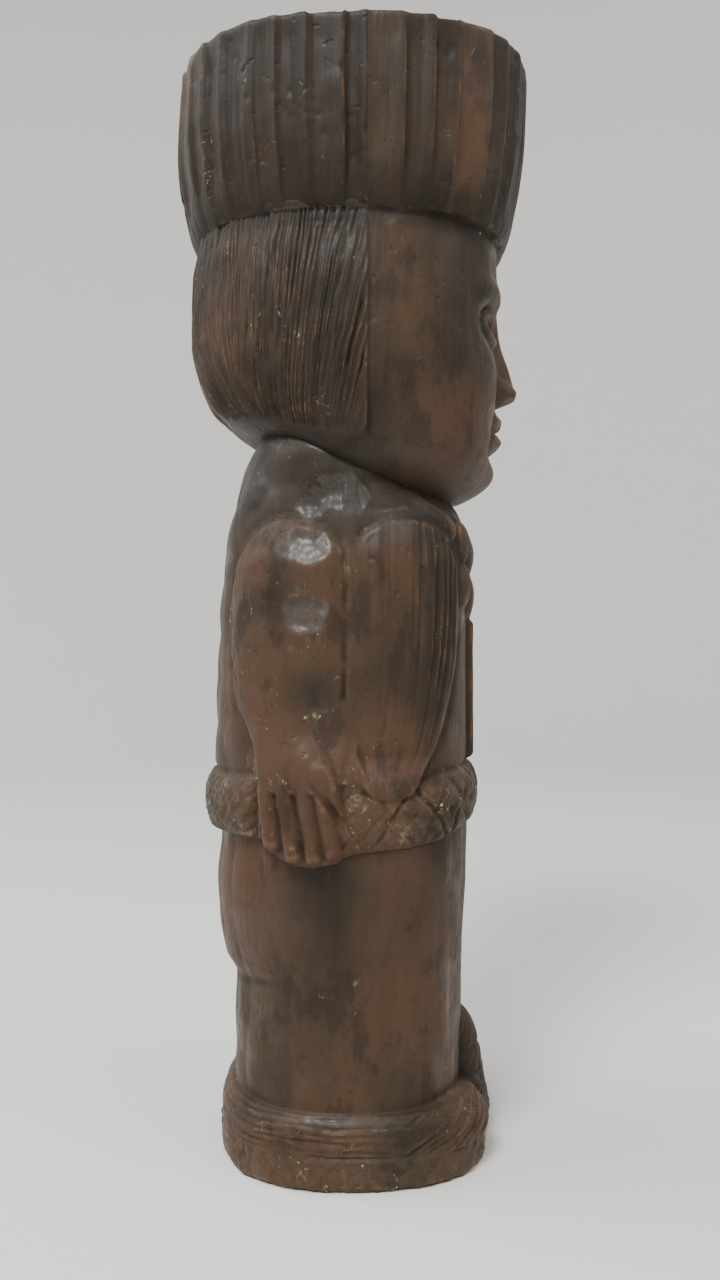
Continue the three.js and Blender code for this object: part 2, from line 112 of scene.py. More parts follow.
def scoops(x, y, seed, wrap=0):  # gouge marks: low in the bed of each and high where they meet
    ix, iy = np.floor(x), np.floor(y)
    nearest = np.full(np.shape(x + y), 9.0)
    for dx in (-1, 0, 1):
        column = (ix + dx) % wrap if wrap else ix + dx
        for dy in (-1, 0, 1):
            cx = ix + dx + 0.15 + 0.7 * chance(column, iy + dy, 1, seed)
            cy = iy + dy + 0.15 + 0.7 * chance(column, iy + dy, 2, seed)
            lift = 0.3 * chance(column, iy + dy, 3, seed)
            nearest = np.minimum(nearest, (x - cx) ** 2 + (y - cy) ** 2 + lift)
    return nearest - 0.35


def gouges(front, z, table):  # single gouge marks: each is deepest towards its top and faces the light
    cut = np.zeros(np.shape(front))
    bed = np.zeros(np.shape(front))
    for middle, level, halfWidth, halfHeight, depth in table:
        up = (z - level) / halfHeight
        ragged = 0.45 * noise(front / 2.6, z / 2.6, middle, 16)
        within = 1 - ((front - middle) / halfWidth) ** 2 - up**2 + ragged
        cut = np.maximum(cut, depth * smooth(0, 0.9, within) * (1 + 0.35 * up))
        bed = np.maximum(bed, smooth(0, 0.14, within) * min(depth, 1))
    return cut, unit(bed * 1.6 - 0.6)


def strokes(across, along, width, depth, seed, wrap=0):  # knife cuts one unit apart, of uneven depth
    q = across + 0.3 * noise(along, across / 3, 0, seed, wrap)
    cut = np.floor(q + 0.5)
    off = q - cut - 0.45 * (chance(cut, 0, 0, seed) - 0.5)
    press = 0.3 + 0.7 * chance(cut, 1, 0, seed)
    lasting = smooth(-0.8, -0.1, noise(along, cut * 3.7, 0, seed + 1, wrap))
    return -depth * press * lasting * np.exp(-np.abs(off / width) ** 1.6)


def turns(angle, count):  # the angle as a place from 0 to count
    return angle * count / fullTurn


def hills(angle, z, count, tall, seed):  # soft hills, a whole number of them round the figure
    return noise(turns(angle, count), z / tall, 0, seed, count)


def beds(angle, z, count, tall, seed):  # gouge marks, a whole number of them round the figure
    return scoops(turns(angle, count), z / tall, seed, count)


def fromFront(angle):
    return np.abs(np.arctan2(np.sin(angle), np.cos(angle)))


def insideTaper(front, z, start, end):  # how far inside a line that has its own radius at each end
    dx, dz = end[0] - start[0], end[1] - start[1]
    x, up = front - start[0], z - start[1]
    t = unit((x * dx + up * dz) / (dx**2 + dz**2))
    return start[2] + (end[2] - start[2]) * t - np.hypot(x - t * dx, up - t * dz)


def roundOff(points, times=2):  # cuts the corners off a closed outline
    corners = np.array(points, float)
    for _ in range(times):
        after = np.roll(corners, -1, 0)
        corners = np.stack([0.75 * corners + 0.25 * after, 0.25 * corners + 0.75 * after], 1).reshape(-1, 2)
    return corners


def insideOutline(front, z, points):  # how far inside a closed outline, and below 0 outside it
    corners = roundOff(points)
    nearest = np.full(np.shape(front), 99.0)
    inside = np.zeros(np.shape(front), bool)
    for (ax, az), (bx, bz) in zip(corners, np.roll(corners, -1, 0)):
        dx, dz = bx - ax, bz - az
        x, up = front - ax, z - az
        along = unit((x * dx + up * dz) / (dx**2 + dz**2))
        nearest = np.minimum(nearest, np.hypot(x - along * dx, up - along * dz))
        crossed = (az > z) != (bz > z)
        inside ^= crossed & (front < ax + up / (dz if dz else 1) * dx)
    return np.where(inside, nearest, -nearest)


def nicked(around, z, seed):  # scattered short cuts and dents from the making and from use
    place = around + 0.6 * noise(z / 5, around / 9, 0, seed)
    slanting = strokes(around / 6 + z / 5, (z - place) / 2.2, 0.05, 0.5, seed + 1)
    level = strokes(z / 5, around / 2.6, 0.05, 0.4, seed + 3)
    few = smooth(0.25, 0.6, noise(around / 5, z / 5, 0, seed + 5))
    others = smooth(0.35, 0.6, noise(around / 4, z / 4, 0, seed + 6))
    dents = -0.3 * smooth(0.66, 0.9, noise(around / 1.7, z / 1.7, 0, seed + 7))
    return slanting * few + level * others + dents


def gridAngles(columns, edge=math.pi, share=1.0):  # columns in front of the edge can stand wider apart
    places = [0, edge / fullTurn * share, 0.5, 1 - edge / fullTurn * share, 1]
    angles = [0, edge, math.pi, fullTurn - edge, fullTurn]
    return np.interp(np.linspace(0, 1, columns + 1), places, angles)[None, :]


def levels(low, high, count):  # rows of points between two edges, each with the edge's own height
    share = np.linspace(0, 1, count)[:, None]
    return low + (high - low) * share


def blur(field, times):  # each pass averages a point with its neighbours
    for _ in range(times):
        ring = field[:, :-1]
        ring = 0.5 * ring + 0.25 * (np.roll(ring, 1, 1) + np.roll(ring, -1, 1))
        padded = np.vstack([ring[:1], ring, ring[-1:]])
        ring = 0.5 * ring + 0.25 * (padded[:-2] + padded[2:])
        field = np.hstack([ring, ring[:, :1]])
    return field


def addObject(name, data):
    item = bpy.data.objects.new(name, data)
    bpy.context.scene.collection.objects.link(item)
    return item


def smoothObject(name, bm, mesh):  # a finished bmesh as a smooth-shaded object
    bm.to_mesh(mesh)
    bm.free()
    mesh.polygons.foreach_set("use_smooth", [True] * len(mesh.polygons))
    return addObject(name, mesh)


# settings for the painted shade in hollows and for the worn edges, both measured from each piece's relief
wearAndShade = {
    "fineSteps": 4, "broadSteps": 50,  # passes of blur that small and large hollows are measured from
    "fineDepth": 0.3, "broadDepth": 1.5, "fineShare": 0.55, "broadShare": 0.45,
    "edgeFrom": 0.02, "edgeHeight": 0.2, "weld": 0.004,
}


def carve(name, angle, z, radius, forward, marks, capRows, soften=1):
    angle, z, radius, forward = np.broadcast_arrays(angle, z, radius, forward)
    flatEnds = z[[0, -1]]
    z, radius, forward = (np.array(blur(field, soften)) for field in (z, radius, forward))
    z[[0, -1]] = flatEnds
    x = -radius * np.sin(angle)
    y = -radius * np.cos(angle) - forward
    rows, across = z.shape
    bm = bmesh.new()
    bmesh.ops.create_grid(bm, x_segments=across - 1, y_segments=rows - 1, size=0.5)
    mesh = bpy.data.meshes.new(name)
    bm.to_mesh(mesh)
    flat = np.empty(len(mesh.vertices) * 3)
    mesh.vertices.foreach_get("co", flat)
    flat = flat.reshape(-1, 3)
    column = np.rint((flat[:, 0] + 0.5) * (across - 1)).astype(int)
    line = np.rint((flat[:, 1] + 0.5) * (rows - 1)).astype(int)
    place = np.stack([x[line, column], y[line, column], z[line, column]], 1) * mm
    mesh.vertices.foreach_set("co", place.ravel())
    relief = radius + forward * np.cos(angle)
    first, last = capRows[0], rows - 1 - capRows[1]
    relief = relief[np.clip(np.arange(rows), first, last)]  # the ends inside other parts stay out of the painted shade and the wear
    fine = relief - blur(relief, wearAndShade["fineSteps"])
    broad = relief - blur(relief, wearAndShade["broadSteps"])
    # hollow is painted shade: recesses, grooves and creases are darkened in the colour
    hollow = unit(-fine / wearAndShade["fineDepth"]) * wearAndShade["fineShare"]
    hollow = hollow + unit(-broad / wearAndShade["broadDepth"]) * wearAndShade["broadShare"]
    worn = unit((fine - wearAndShade["edgeFrom"]) / wearAndShade["edgeHeight"])
    calm = 1 - marks.pop("joint", 0.0)  # where two parts meet, less painted shade and edge wear go on, so only the carving itself is shaded
    marks = {"hollow": hollow * calm, "worn": worn * calm, "polishAndSheen": 0.0, "rub": 0.25, **marks}
    for label, field in marks.items():
        field = np.broadcast_to(field, z.shape)
        layer = mesh.attributes.new(label, "FLOAT", "POINT")
        layer.data.foreach_set("value", unit(field)[line, column].astype(np.float32))
    bm.free()
    bm = bmesh.new()
    bm.from_mesh(mesh)
    bmesh.ops.remove_doubles(bm, verts=bm.verts, dist=wearAndShade["weld"] * mm)
    bmesh.ops.holes_fill(bm, edges=[e for e in bm.edges if e.is_boundary], sides=0)
    bmesh.ops.poke(bm, faces=[f for f in bm.faces if len(f.verts) > 4])
    bmesh.ops.recalc_face_normals(bm, faces=bm.faces)
    piece = smoothObject(name, bm, mesh)
    print(name, "has", sum(len(p.vertices) - 2 for p in mesh.polygons), "triangles")
    return piece


crown = {
    "foot": 252.5, "height": 300, "columns": 700, "rows": 92, "topRows": 26,
    "front": [(252.5, 43.0), (256, 44.8), (262, 46.4), (270, 48.0), (282, 49.4), (300, 50.0)],
    "back": [(252.5, 44.4), (256, 46.2), (262, 47.8), (270, 49.4), (279, 50.0), (300, 48.8)],
    "half": [(252.5, 39.2), (256, 41.2), (262, 42.8), (272, 44.2), (284, 44.9), (300, 44.9)],
    "squareFront": 2.6, "squareBack": 2.3,
    "feathers": 38, "unevenness": 0.16, "depth": 1.3, "ridge": 0.05, "deepest": 0.78, "tipDrop": 1.3,
    "rim": 3.5, "dish": 0.9, "underShare": 0.72, "underRows": 8,
}


def crownPlan(angle, z):
    square = np.where(np.cos(angle) > 0, crown["squareFront"], crown["squareBack"])
    return planOf(crown, angle, z, square)


def evenAngles(shares):  # angles that divide the crown's plan into equal steps along its edge
    angle = np.linspace(0, fullTurn, 1441)
    radius = crownPlan(angle, crown["height"])
    x, y = radius * np.sin(angle), radius * np.cos(angle)
    length = np.concatenate([[0], np.cumsum(np.hypot(np.diff(x), np.diff(y)))])
    return np.interp(shares, length / length[-1], angle)


def featherPlace(angle):  # which feather a point is on, and how far across it
    i = np.arange(crown["feathers"])
    ridges = evenAngles((i + crown["unevenness"] * np.sin(2.3 * i)) / crown["feathers"])
    edges = np.append(ridges, fullTurn)
    turn = np.mod(angle, fullTurn)
    k = np.clip(np.searchsorted(edges, turn, side="right") - 1, 0, crown["feathers"] - 1)
    return k, (turn - edges[k]) / (edges[k + 1] - edges[k])


def featherTop(angle):  # every feather was cut to its own length
    k, across = featherPlace(angle)
    drop = crown["tipDrop"] * chance(k, 7) ** 1.5 + 0.3 * (2 * across - 1) ** 2
    drop = drop + 0.2 * (1 + hills(angle, 0, 150, 1, 14))
    return np.minimum(crown["height"] + 1.1 - drop + np.min(drop), crown["height"] + 0.2)


def featherRelief(angle, z):
    count = crown["feathers"]
    sway = 0.005 * hills(angle, z, count, 15, 5)
    k, t = featherPlace(angle + sway)
    t = unit((t - crown["ridge"]) / (1 - crown["ridge"]))
    deepest = crown["deepest"]
    falling = np.sin(unit(t / deepest) * math.pi / 2) ** 1.3
    rising = np.cos(unit((t - deepest) / (1 - deepest)) * math.pi / 2) ** 0.75
    hollow = np.minimum(falling, rising)
    depth = crown["depth"] * (0.62 + 0.55 * chance(k, 4))
    aboveFoot = smooth(crown["foot"] + 1, crown["foot"] + 13, z + 3 * noise(k * 1.7, 0, 0, 6))
    depth = depth * (0.16 + 0.84 * aboveFoot) * (1 - 0.4 * smooth(291, 300, z))
    chatter = 0.12 * noise(k * 5.3, z / 4.4, 0, 8) + 0.3 * noise(k * 2.1, z / 16, 0, 9)
    lasting = smooth(-0.2, 0.3, noise(k * 3.1, z / 13, 0, 10))
    secondCut = 0.2 * bell(t - 0.3 - 0.25 * chance(k, 5), 0.05) * lasting
    chips = 0.4 * smooth(0.62, 0.9, hills(angle, z, 110, 5, 12)) * smooth(0.35, 0.1, hollow)
    chips = chips + 0.3 * scoops(t / 1.2 + k * 5, z / 14, 15) * smooth(0.1, 0.5, hollow)
    nicks = smooth(0.5, 0.8, hills(angle, z, 190, 1.3, 11)) * smooth(0, 0.4, hills(angle, z, 30, 9, 16))
    grain = 0.09 * hills(angle, z, 500, 9, 13)
    return -hollow * (depth + chatter) - secondCut - chips - 0.3 * nicks + grain


def carveCrown():
    angle = gridAngles(crown["columns"])
    tops = featherTop(angle)
    side = levels(crown["foot"] + 0.35 * hills(angle, 0, 60, 1, 3), tops, crown["rows"])
    sideRadius = crownPlan(angle, side) + featherRelief(angle, side)
    sideRadius = sideRadius - 0.4 * smooth(1.4, 0, tops - side) - 0.3 * smooth(1.5, 0, side - crown["foot"])
    rim = sideRadius[-1:]
    inward = 1 - levels(0 * angle, 1 + 0 * angle, crown["topRows"])[1:] ** 0.8
    topRadius = rim * np.maximum(inward, 0)
    reach = rim - topRadius
    rings = 0.14 * np.sin(topRadius * 2.1 + 1.5 * hills(angle, topRadius, 5, 25, 17))
    saw = 0.12 * noise(topRadius * np.cos(angle) / 1.4, 0, 0, 18)
    topMiddle = np.mean(tops) - crown["dish"] + rings + saw
    cracks = 0
    for place, width, length in ((0.9, 0.016, 30), (2.5, 0.012, 22), (4.4, 0.018, 34), (5.5, 0.01, 17)):
        bend = place + 0.05 * noise(topRadius / 6, place, 0, 19)
        crack = bell(np.arctan2(np.sin(angle - bend), np.cos(angle - bend)), width + 0.3 / (topRadius + 6))
        cracks = cracks + 1.3 * crack * smooth(length, length - 8, topRadius) * smooth(2, 7, topRadius)
    topMiddle = topMiddle - np.minimum(cracks, 1.3)
    top = tops + (topMiddle - tops) * smooth(0.3, crown["rim"], reach)
    under = sideRadius[:1] * levels(crown["underShare"] + 0 * angle, 1 + 0 * angle, crown["underRows"])[:-1]
    z = np.vstack([side[:1] + 0 * under, side, top])
    radius = np.vstack([under, sideRadius, topRadius])
    lower = smooth(crown["foot"] + 16, crown["foot"] + 4, z)
    k, across = featherPlace(angle)
    tone = 0.42 - 0.2 * lower + 0.2 * hills(angle, z, 9, 30, 21) + 0.6 * (chance(k, 3) - 0.5)
    rub = 0.42 - 0.5 * smooth(1.5, 0.4, tops - z)
    marks = {"tone": tone, "dust": 0.12, "rub": rub, "joint": 0.25}
    return carve("carvedCrown", angle, z, radius, 0.0, marks, (len(under), 0))


head = {
    "columns": 900, "rows": 103, "frontEdge": 1.2, "frontShare": 0.72,
    "hairEdge": 1.46, "cutRadius": 41, "square": 2.4, "ledge": 0.9,
    "front": [(181, 39.0), (195, 40.0), (215, 41.2), (235, 41.6), (253, 41.6)],
    "back": [(198, 45.4), (216, 45.6), (228, 46.2), (243, 45.6), (253, 44.0)],
    "half": [(181, 37.0), (195, 38.6), (215, 40.0), (235, 39.8), (253, 38.6)],
    "cheek": [(181, 24.0), (188, 29.5), (197, 35.4), (211, 38.7), (228, 39.3), (253, 38.4)],
    "jaw": [(-1, 199.4), (-0.5, 196.4), (0, 188.6), (1, 181)],
    "neckShare": [(-1, 0.57), (0, 0.9), (1, 0.74)],
    "rise": [(-1, 27), (0, 11), (1, 10)],
    "hairFoot": [(-1, 205), (-0.5, 201), (0, 196), (1, 196)],
    "neckSteps": (1, 0.66, 0.33), "neckDrop": 3, "neckInset": 6,
    "fillet": [(0.4, 0.3), (1.0, 0.2), (2.0, 0.6), (3.0, 1.6)],
}
face = {
    "eyeSide": 14, "eyeHeight": 228.5, "eyeHalf": 7.2, "eyeOpen": 3.1, "socket": 4.0, "brow": 237.5,
    "noseRoot": 234, "noseTip": 213.5, "noseFoot": 210, "noseRaised": 6.4,
    "mouth": 201.8, "mouthHalf": 11.5, "lips": 2.8,
    "forms": [  # how far each is raised, then its middle and half width across, and the same in height
        (-1.2, 3.1, 1.2, 210.4, 1.0),  # nostril
        (-0.6, 8.3, 0.9, 212.8, 3.4),  # crease beside the nose
        (1.3, 20, 9, 215, 8),  # cheek
        (-0.5, 0, 1.5, 207.3, 1.8),  # groove over the lips
        (-1.4, 0, 12, 194.6, 2.3),  # hollow under the lips
        (1.8, 0, 10, 188, 5),  # chin
    ],
}


def jawHeight(angle):
    return curve(head["jaw"], np.cos(angle))


def headPlan(angle, z):
    forward = np.cos(angle)
    share, rise = curve(head["neckShare"], forward), curve(head["rise"], forward)
    t = unit((z - jawHeight(angle)) / rise)
    spread = 0.012 + 0.5 * smooth(197, 189, z)  # the step at the hair dies out under the jaw
    inHair = smooth(head["hairEdge"] - spread, head["hairEdge"] + spread, fromFront(angle))
    half = curve(head["cheek"], z) + (curve(head["half"], z) - curve(head["cheek"], z)) * inHair
    plan = oval(angle, curve(head["front"], z), curve(head["back"], z), half, head["square"])
    under = 0.5 + 0.25 * smooth(-0.6, -0.2, forward)
    return plan * (share + (1 - share) * (1 - (1 - t) ** 2) ** under)


def hairRelief(angle, z):
    a = fromFront(angle)
    side = np.where(np.sin(angle) < 0, -1, 1)
    lean = 0.26 * smooth(2.3, 1.5, a) - 0.16 * smooth(2.2, 2.7, a) * smooth(3.1, 2.8, a) * smooth(232, 206, z)
    q = angle * head["cutRadius"] + side * lean * (z - crown["foot"])
    coarse = smooth(2.4, 1.6, a)
    nearTop = smooth(222, 244, z)
    locks = strokes(q / 4.6, z / 14, 0.12, 0.7, 22) * (0.5 + 0.5 * coarse)
    wide = strokes(q / 1.9, z / 9, 0.19, 1.1, 25) * (0.25 + 0.75 * coarse * (0.4 + 0.6 * nearTop))
    fine = strokes(q / 1.15 + 0.4, z / 9, 0.25, 0.68, 28) * (1 - 0.15 * coarse)
    hairs = strokes(q / 0.95 + 0.2 + z / 40, z / 7, 0.28, 0.6, 31)
    waves = 0.35 * noise(q / 6, z / 16, 0, 34) + 0.25 * noise(q / 2.5, z / 7, 0, 32)
    foot = curve(head["hairFoot"], np.cos(angle)) + 0.7 * noise(q / 3, 0, 0, 35)
    atCheek = smooth(2.1, 1.6, a)  # beside the cheek the hair ends softly
    step = smooth(foot - 0.5, foot + 0.6, z) - 1
    ledge = head["ledge"] * (1 - 0.6 * atCheek) * step * smooth(190, 194, z)
    rounded = -0.5 * smooth(foot + 3, foot, z)
    shelf = 0.55 * smooth(249.5, 251.5, z) * smooth(2.2, 1.7, a)
    below = smooth(foot - 1.5, foot + 0.8, z)
    inHair = smooth(head["hairEdge"] - 0.015, head["hairEdge"] + 0.05, a)
    cuts = (locks + wide + fine + hairs) * (1 - 0.75 * atCheek * smooth(foot + 13, foot, z))
    return ((cuts + waves + rounded) * below + ledge + shelf) * inHair


def faceRelief(side, z):  # a plain face drawn from the usual thirds and the five-eye rule
    across = np.abs(side)
    dx = (across - face["eyeSide"]) / face["eyeHalf"]
    dz = z - face["eyeHeight"]
    arch = unit(1 - dx**2) ** 0.75
    upper, lower = face["eyeOpen"] * arch, -face["eyeOpen"] * 0.8 * arch
    inside = np.minimum(upper - dz, dz - lower)
    nearEye = smooth(1.3, 1.02, np.abs(dx))
    pupil = np.hypot(across - face["eyeSide"], dz - 0.3)
    browLine = face["brow"] + 0.6 - 1.3 * ((across - 13) / 12) ** 2
    browHairs = strokes(across / 1.5 + z / 3, z / 4, 0.25, 0.25, 38)
    down = unit((face["noseRoot"] - z) / (face["noseRoot"] - face["noseTip"]))
    underNose = smooth(face["noseFoot"] - 1.0, face["noseFoot"] + 2.2, z)
    bridge = 1.2 + (face["noseRaised"] - 1.2) * down**1.15
    lipShape = np.sqrt(unit(1 - (side / face["mouthHalf"]) ** 2))
    bow = 0.7 * bell(side, 2.2) - 0.5 * bell(across - 3.6, 2.4)
    line = face["mouth"] + 0.5 * bell(across, 5) - 0.35
    out = sum([
        -face["socket"] * blunt(across - face["eyeSide"] + 1, 10.5) * bell(dz - 0.5, 6),
        2.9 * np.sqrt(unit(1 - dx**2 * 0.8 - (dz / 5.4) ** 2)),  # eyeball
        -0.8 * smooth(-0.1, 0.45, inside) * nearEye,
        0.7 * bell(inside + 0.95, 0.8) * nearEye,  # rims of the lids
        -0.55 * bell(dz - upper - 2.5, 0.55) * smooth(1.3, 0.9, np.abs(dx)) * (dz > 0),
        -(0.35 * bell(pupil - 2.3, 0.35) + 0.5 * bell(pupil, 0.8)) * smooth(0, 0.4, inside),
        1.7 * bell(z - browLine, 3.2) * smooth(30, 21, across) * smooth(0, 9, across),
        browHairs * bell(z - browLine, 2) * smooth(27, 22, across),
        bridge * blunt(side, 3.1 + 2.3 * down**2, 2.3) * underNose * smooth(241, 232, z),
        3.0 * bell(across - 5.2, 2.5) * bell(z - 213.2, 3.0) * underNose,  # wings of the nose
        face["lips"] * lipShape * blunt(z - line - 2.5 + bow, 2.0, 2.2),
        face["lips"] * 1.08 * lipShape * blunt(z - line + 3.0, 2.3, 2.2),
        -1.2 * bell(z - line, 0.55) * smooth(face["mouthHalf"] + 2, face["mouthHalf"] - 1, across),
    ])
    for raised, middle, halfWidth, level, halfHeight in face["forms"]:
        out = out + raised * bell(across - middle, halfWidth) * bell(z - level, halfHeight)
    return out


def carveHead():
    angle = gridAngles(head["columns"], head["frontEdge"], head["frontShare"])
    jaw = jawHeight(angle)
    z = levels(jaw, crown["foot"] + 0 * angle, head["rows"])
    base = headPlan(angle, z)
    radius = base + hairRelief(angle, z) * smooth(0, 2, z - jaw)
    a = fromFront(angle)
    skin = smooth(head["hairEdge"] + 0.02, head["hairEdge"] - 0.02, a)
    planes = 0.5 * beds(angle, z, 26, 12, 37) + 0.05 * hills(angle, z, 420, 6, 36)
    radius = radius - planes * (skin + (1 - skin) * smooth(197, 194, z))
    cheekFront = base * np.cos(angle) + apart * (np.sin(angle) > 0)
    radius = radius + 0.6 * nicked(cheekFront, z, 130) * skin * smooth(0.8, 1.1, a)
    pastEdge = a - head["hairEdge"]
    parting = 0.3 * bell(pastEdge + 0.025, 0.012) * smooth(219, 226, z) * smooth(247, 243, z)
    lip = 0.12 * bell(pastEdge - 0.01, 0.014) * smooth(224, 220, z) * smooth(197, 201, z)
    radius = radius - parting + lip
    onFace = smooth(head["hairEdge"] - 0.1, head["hairEdge"] - 0.5, a)
    forward = faceRelief(base * np.sin(angle), z) * onFace
    neck = radius[:1]
    low = [jaw - head["neckDrop"] * share for share in head["neckSteps"]]
    lowRadius = [neck - head["neckInset"] * share for share in head["neckSteps"]]
    high = [crown["foot"] + up + 0 * angle for up, sunk in head["fillet"]]
    highRadius = [crownPlan(angle, crown["foot"] + up) - sunk for up, sunk in head["fillet"]]
    high.append(high[-1] + 0.5)
    highRadius.append(highRadius[-1] * 0.7)
    z = np.vstack(low + [z] + high)
    radius = np.vstack(lowRadius + [radius] + highRadius)
    forward = np.vstack([forward[:1]] * len(low) + [forward] + [0 * angle] * len(high))
    patch = smooth(0.0, 0.5, hills(angle, z, 8, 28, 39))
    hair = a > head["hairEdge"]
    # painted shade: darker just under the crown's rim, and on the underside of the head at the sides and back
    tone = 0.45 + 0.35 * patch * (1 - 0.4 * hair) - 0.25 * smooth(246, 252, z)
    tone = tone - 0.3 * smooth(200, 190, z) * smooth(0.2, -0.4, np.cos(angle))
    # painted highlights and sheen, each with real gloss too: on the strands near the top front, in a band
    # under the crown's rim, and on the jaw's underside to lift its shade
    polishAndSheen = 0.4 * smooth(218, 246, z) * smooth(2.5, 1.7, a) * hair
    polishAndSheen = polishAndSheen + 0.5 * bell(z - 251, 1.5) * smooth(1.0, 1.3, a) * smooth(2.3, 1.8, a)
    polishAndSheen = polishAndSheen + 0.4 * smooth(18, 3, z - jaw) * smooth(-0.3, 0.2, np.cos(angle))
    marks = {"tone": tone, "dust": 0.1 + 0.3 * hair, "polishAndSheen": polishAndSheen, "rub": 0.3 + 0.04 * hair}
    marks["joint"] = 0.85 * smooth(5, 2, z - jaw)
    return carve("carvedHead", angle, z, radius, forward, marks, (len(low), len(high) - 1), 0)


torso = {
    "columns": 600, "beltRows": 42, "handRows": 38, "chestRows": 80,
    "square": 2.3, "middle": 129.5, "flank": 16,
    "front": [(104, 33.0), (125, 32.8), (145, 32.8), (158, 33.0), (168, 32.8), (178, 32.2)],
    "back": [(104, 39.6), (115, 39.0), (135, 38.4), (149, 37.8), (163, 36.4), (185, 34.0)],
    "half": [(104, 35.6), (120, 35.8), (140, 36.4), (158, 36.4), (170, 35.6), (188, 34.6)],
    "drop": [(-1, 30), (0, 20), (1, 12)],
}
belt = {
    "foot": [(-1, 89.4), (-0.62, 89.8), (-0.52, 87.6), (-0.44, 85.2), (-0.3, 83.4), (-0.12, 84.7), (0, 86.1),
             (0.45, 87.8), (0.65, 89.2), (0.82, 90.8), (1, 91.4)],
    "top": [(-1, 106.4), (-0.5, 106), (0, 104.5), (0.5, 105.5), (0.8, 107.4), (1, 108.2)],
    "front": 35.8, "back": 41.8, "half": 40.2, "fold": 4.2,
    "lozenges": 22, "cut": 1.5, "latticeRadius": 39, "nickRadius": 41,
    "caked": [(1.5, 100, 2.2), (-10, 123, 1.8), (-14.7, 89, 1.5), (-29, 90.5, 2.6), (14, 92, 1.8)],
}
arm = {
    "outline": [
        (-0.7, 163), (-1.1, 166.5), (-4, 169), (-8, 171.2), (-12.4, 173.2), (-16.6, 174.4), (-21, 173.8),
        (-25, 171.6), (-28.6, 168), (-31.2, 160.7), (-32, 150), (-32, 138), (-31.1, 126), (-27.6, 118.6),
        (-25.8, 113.6), (-24.6, 106), (-24.2, 100), (-22, 97), (-8, 97), (-2.4, 101), (-1.8, 105.5),
        (-3.2, 109.5), (-5.4, 113.5), (-7.6, 117), (-8.9, 120.4), (-8.2, 122.9), (-5, 124), (-2, 125.4),
        (-0.9, 129), (-0.7, 145),
    ],
    "web": [(-12, 130), (-0.7, 130), (-0.7, 108), (-1.5, 101), (-6, 101), (-12, 112)],
    "raised": 3.6, "handRaised": 1.7, "edge": 1.5, "round": 9, "low": -0.4, "webRaised": 1.7,
    "sunk": -12, "apart": 40,
    "gouges": [(-10.9, 149.5, 5.2, 6.4, 1.3), (-11.4, 166.4, 7.2, 4.8, 1.1), (-20, 159, 4.2, 4, 0.4),
               (-24, 147, 4, 6, 0.4), (-22, 129, 5, 5, 0.4)],
}
fingers = {
    "lines": [
        ((-22.2, 103), (-20.3, 89.6)),
        ((-17.4, 104.5), (-14.9, 86.4)),
        ((-12.2, 104.5), (-9.4, 86.4)),
        ((-7.6, 103), (-4.6, 87.6)),
    ],
    "radius": 2.6, "raised": 1.6, "low": -1.4,
    "thumb": ((-7.2, 108.5, 3.6), (-2.2, 97.6, 1.1)), "thumbRaised": 2.5,
}
lappet = {
    "outline": [
        (0.5, 162), (1.1, 167), (4.9, 171.6), (13.1, 174.6), (22, 173.2), (27.5, 166), (29, 155), (28.8, 142),
        (26.8, 129), (24, 118), (19.5, 107), (16.5, 101.5), (9, 100.5), (3.2, 102.5), (1.2, 108), (0.5, 125),
    ],
    "back": [(100, 3), (110, 0.6), (125, 0), (175, 0)],
    "front": [(100, 15.5), (107, 19.5), (118, 24), (129, 26.8), (142, 28.8), (175, 29.4)],
    "raised": 2.5,
}
shoulderGouges = [
    (-11, 176.6, 3.8, 3.2, 1.3), (-2.4, 180.2, 8, 5.6, 0.95), (9, 180, 5, 4, 0.6), (-25, 176, 4, 7, 0.5),
]
chest = {
    "sashHalf": 6.2, "sashTop": 148, "sashRaised": 2.0, "bend": 75,
    "rows": [(166, 7), (153.5, 5)], "pitch": 8.2, "halfWidth": 3.9, "halfHeight": 6.3, "raised": 2.6,
}


def torsoPlan(angle, z):
    jaw = jawHeight(angle)
    neck = headPlan(angle, jaw)
    t = unit((jaw - z) / curve(torso["drop"], np.cos(angle)))
    full = planOf(torso, angle, z, torso["square"])
    return neck + (full - neck) * (1 - (1 - t) ** 2.2)


def beltFull(angle):
    return oval(angle, belt["front"], belt["back"], belt["half"], 2.4)


def beltEdges(angle):  # the belt rides higher in front and behind, and hangs lowest under the hands
    ragged = 0.25 * hills(angle, 0, 70, 1, 60)
    return curve(belt["foot"], np.cos(angle)) + ragged, curve(belt["top"], np.cos(angle)) - ragged


def beltPlan(angle, z):
    low, top = beltEdges(angle)
    middle = (low + top) / 2
    t = unit(np.abs(z - middle) / (top - middle))
    return beltFull(angle) - belt["fold"] * (1 - np.sqrt(1 - t**2.4))


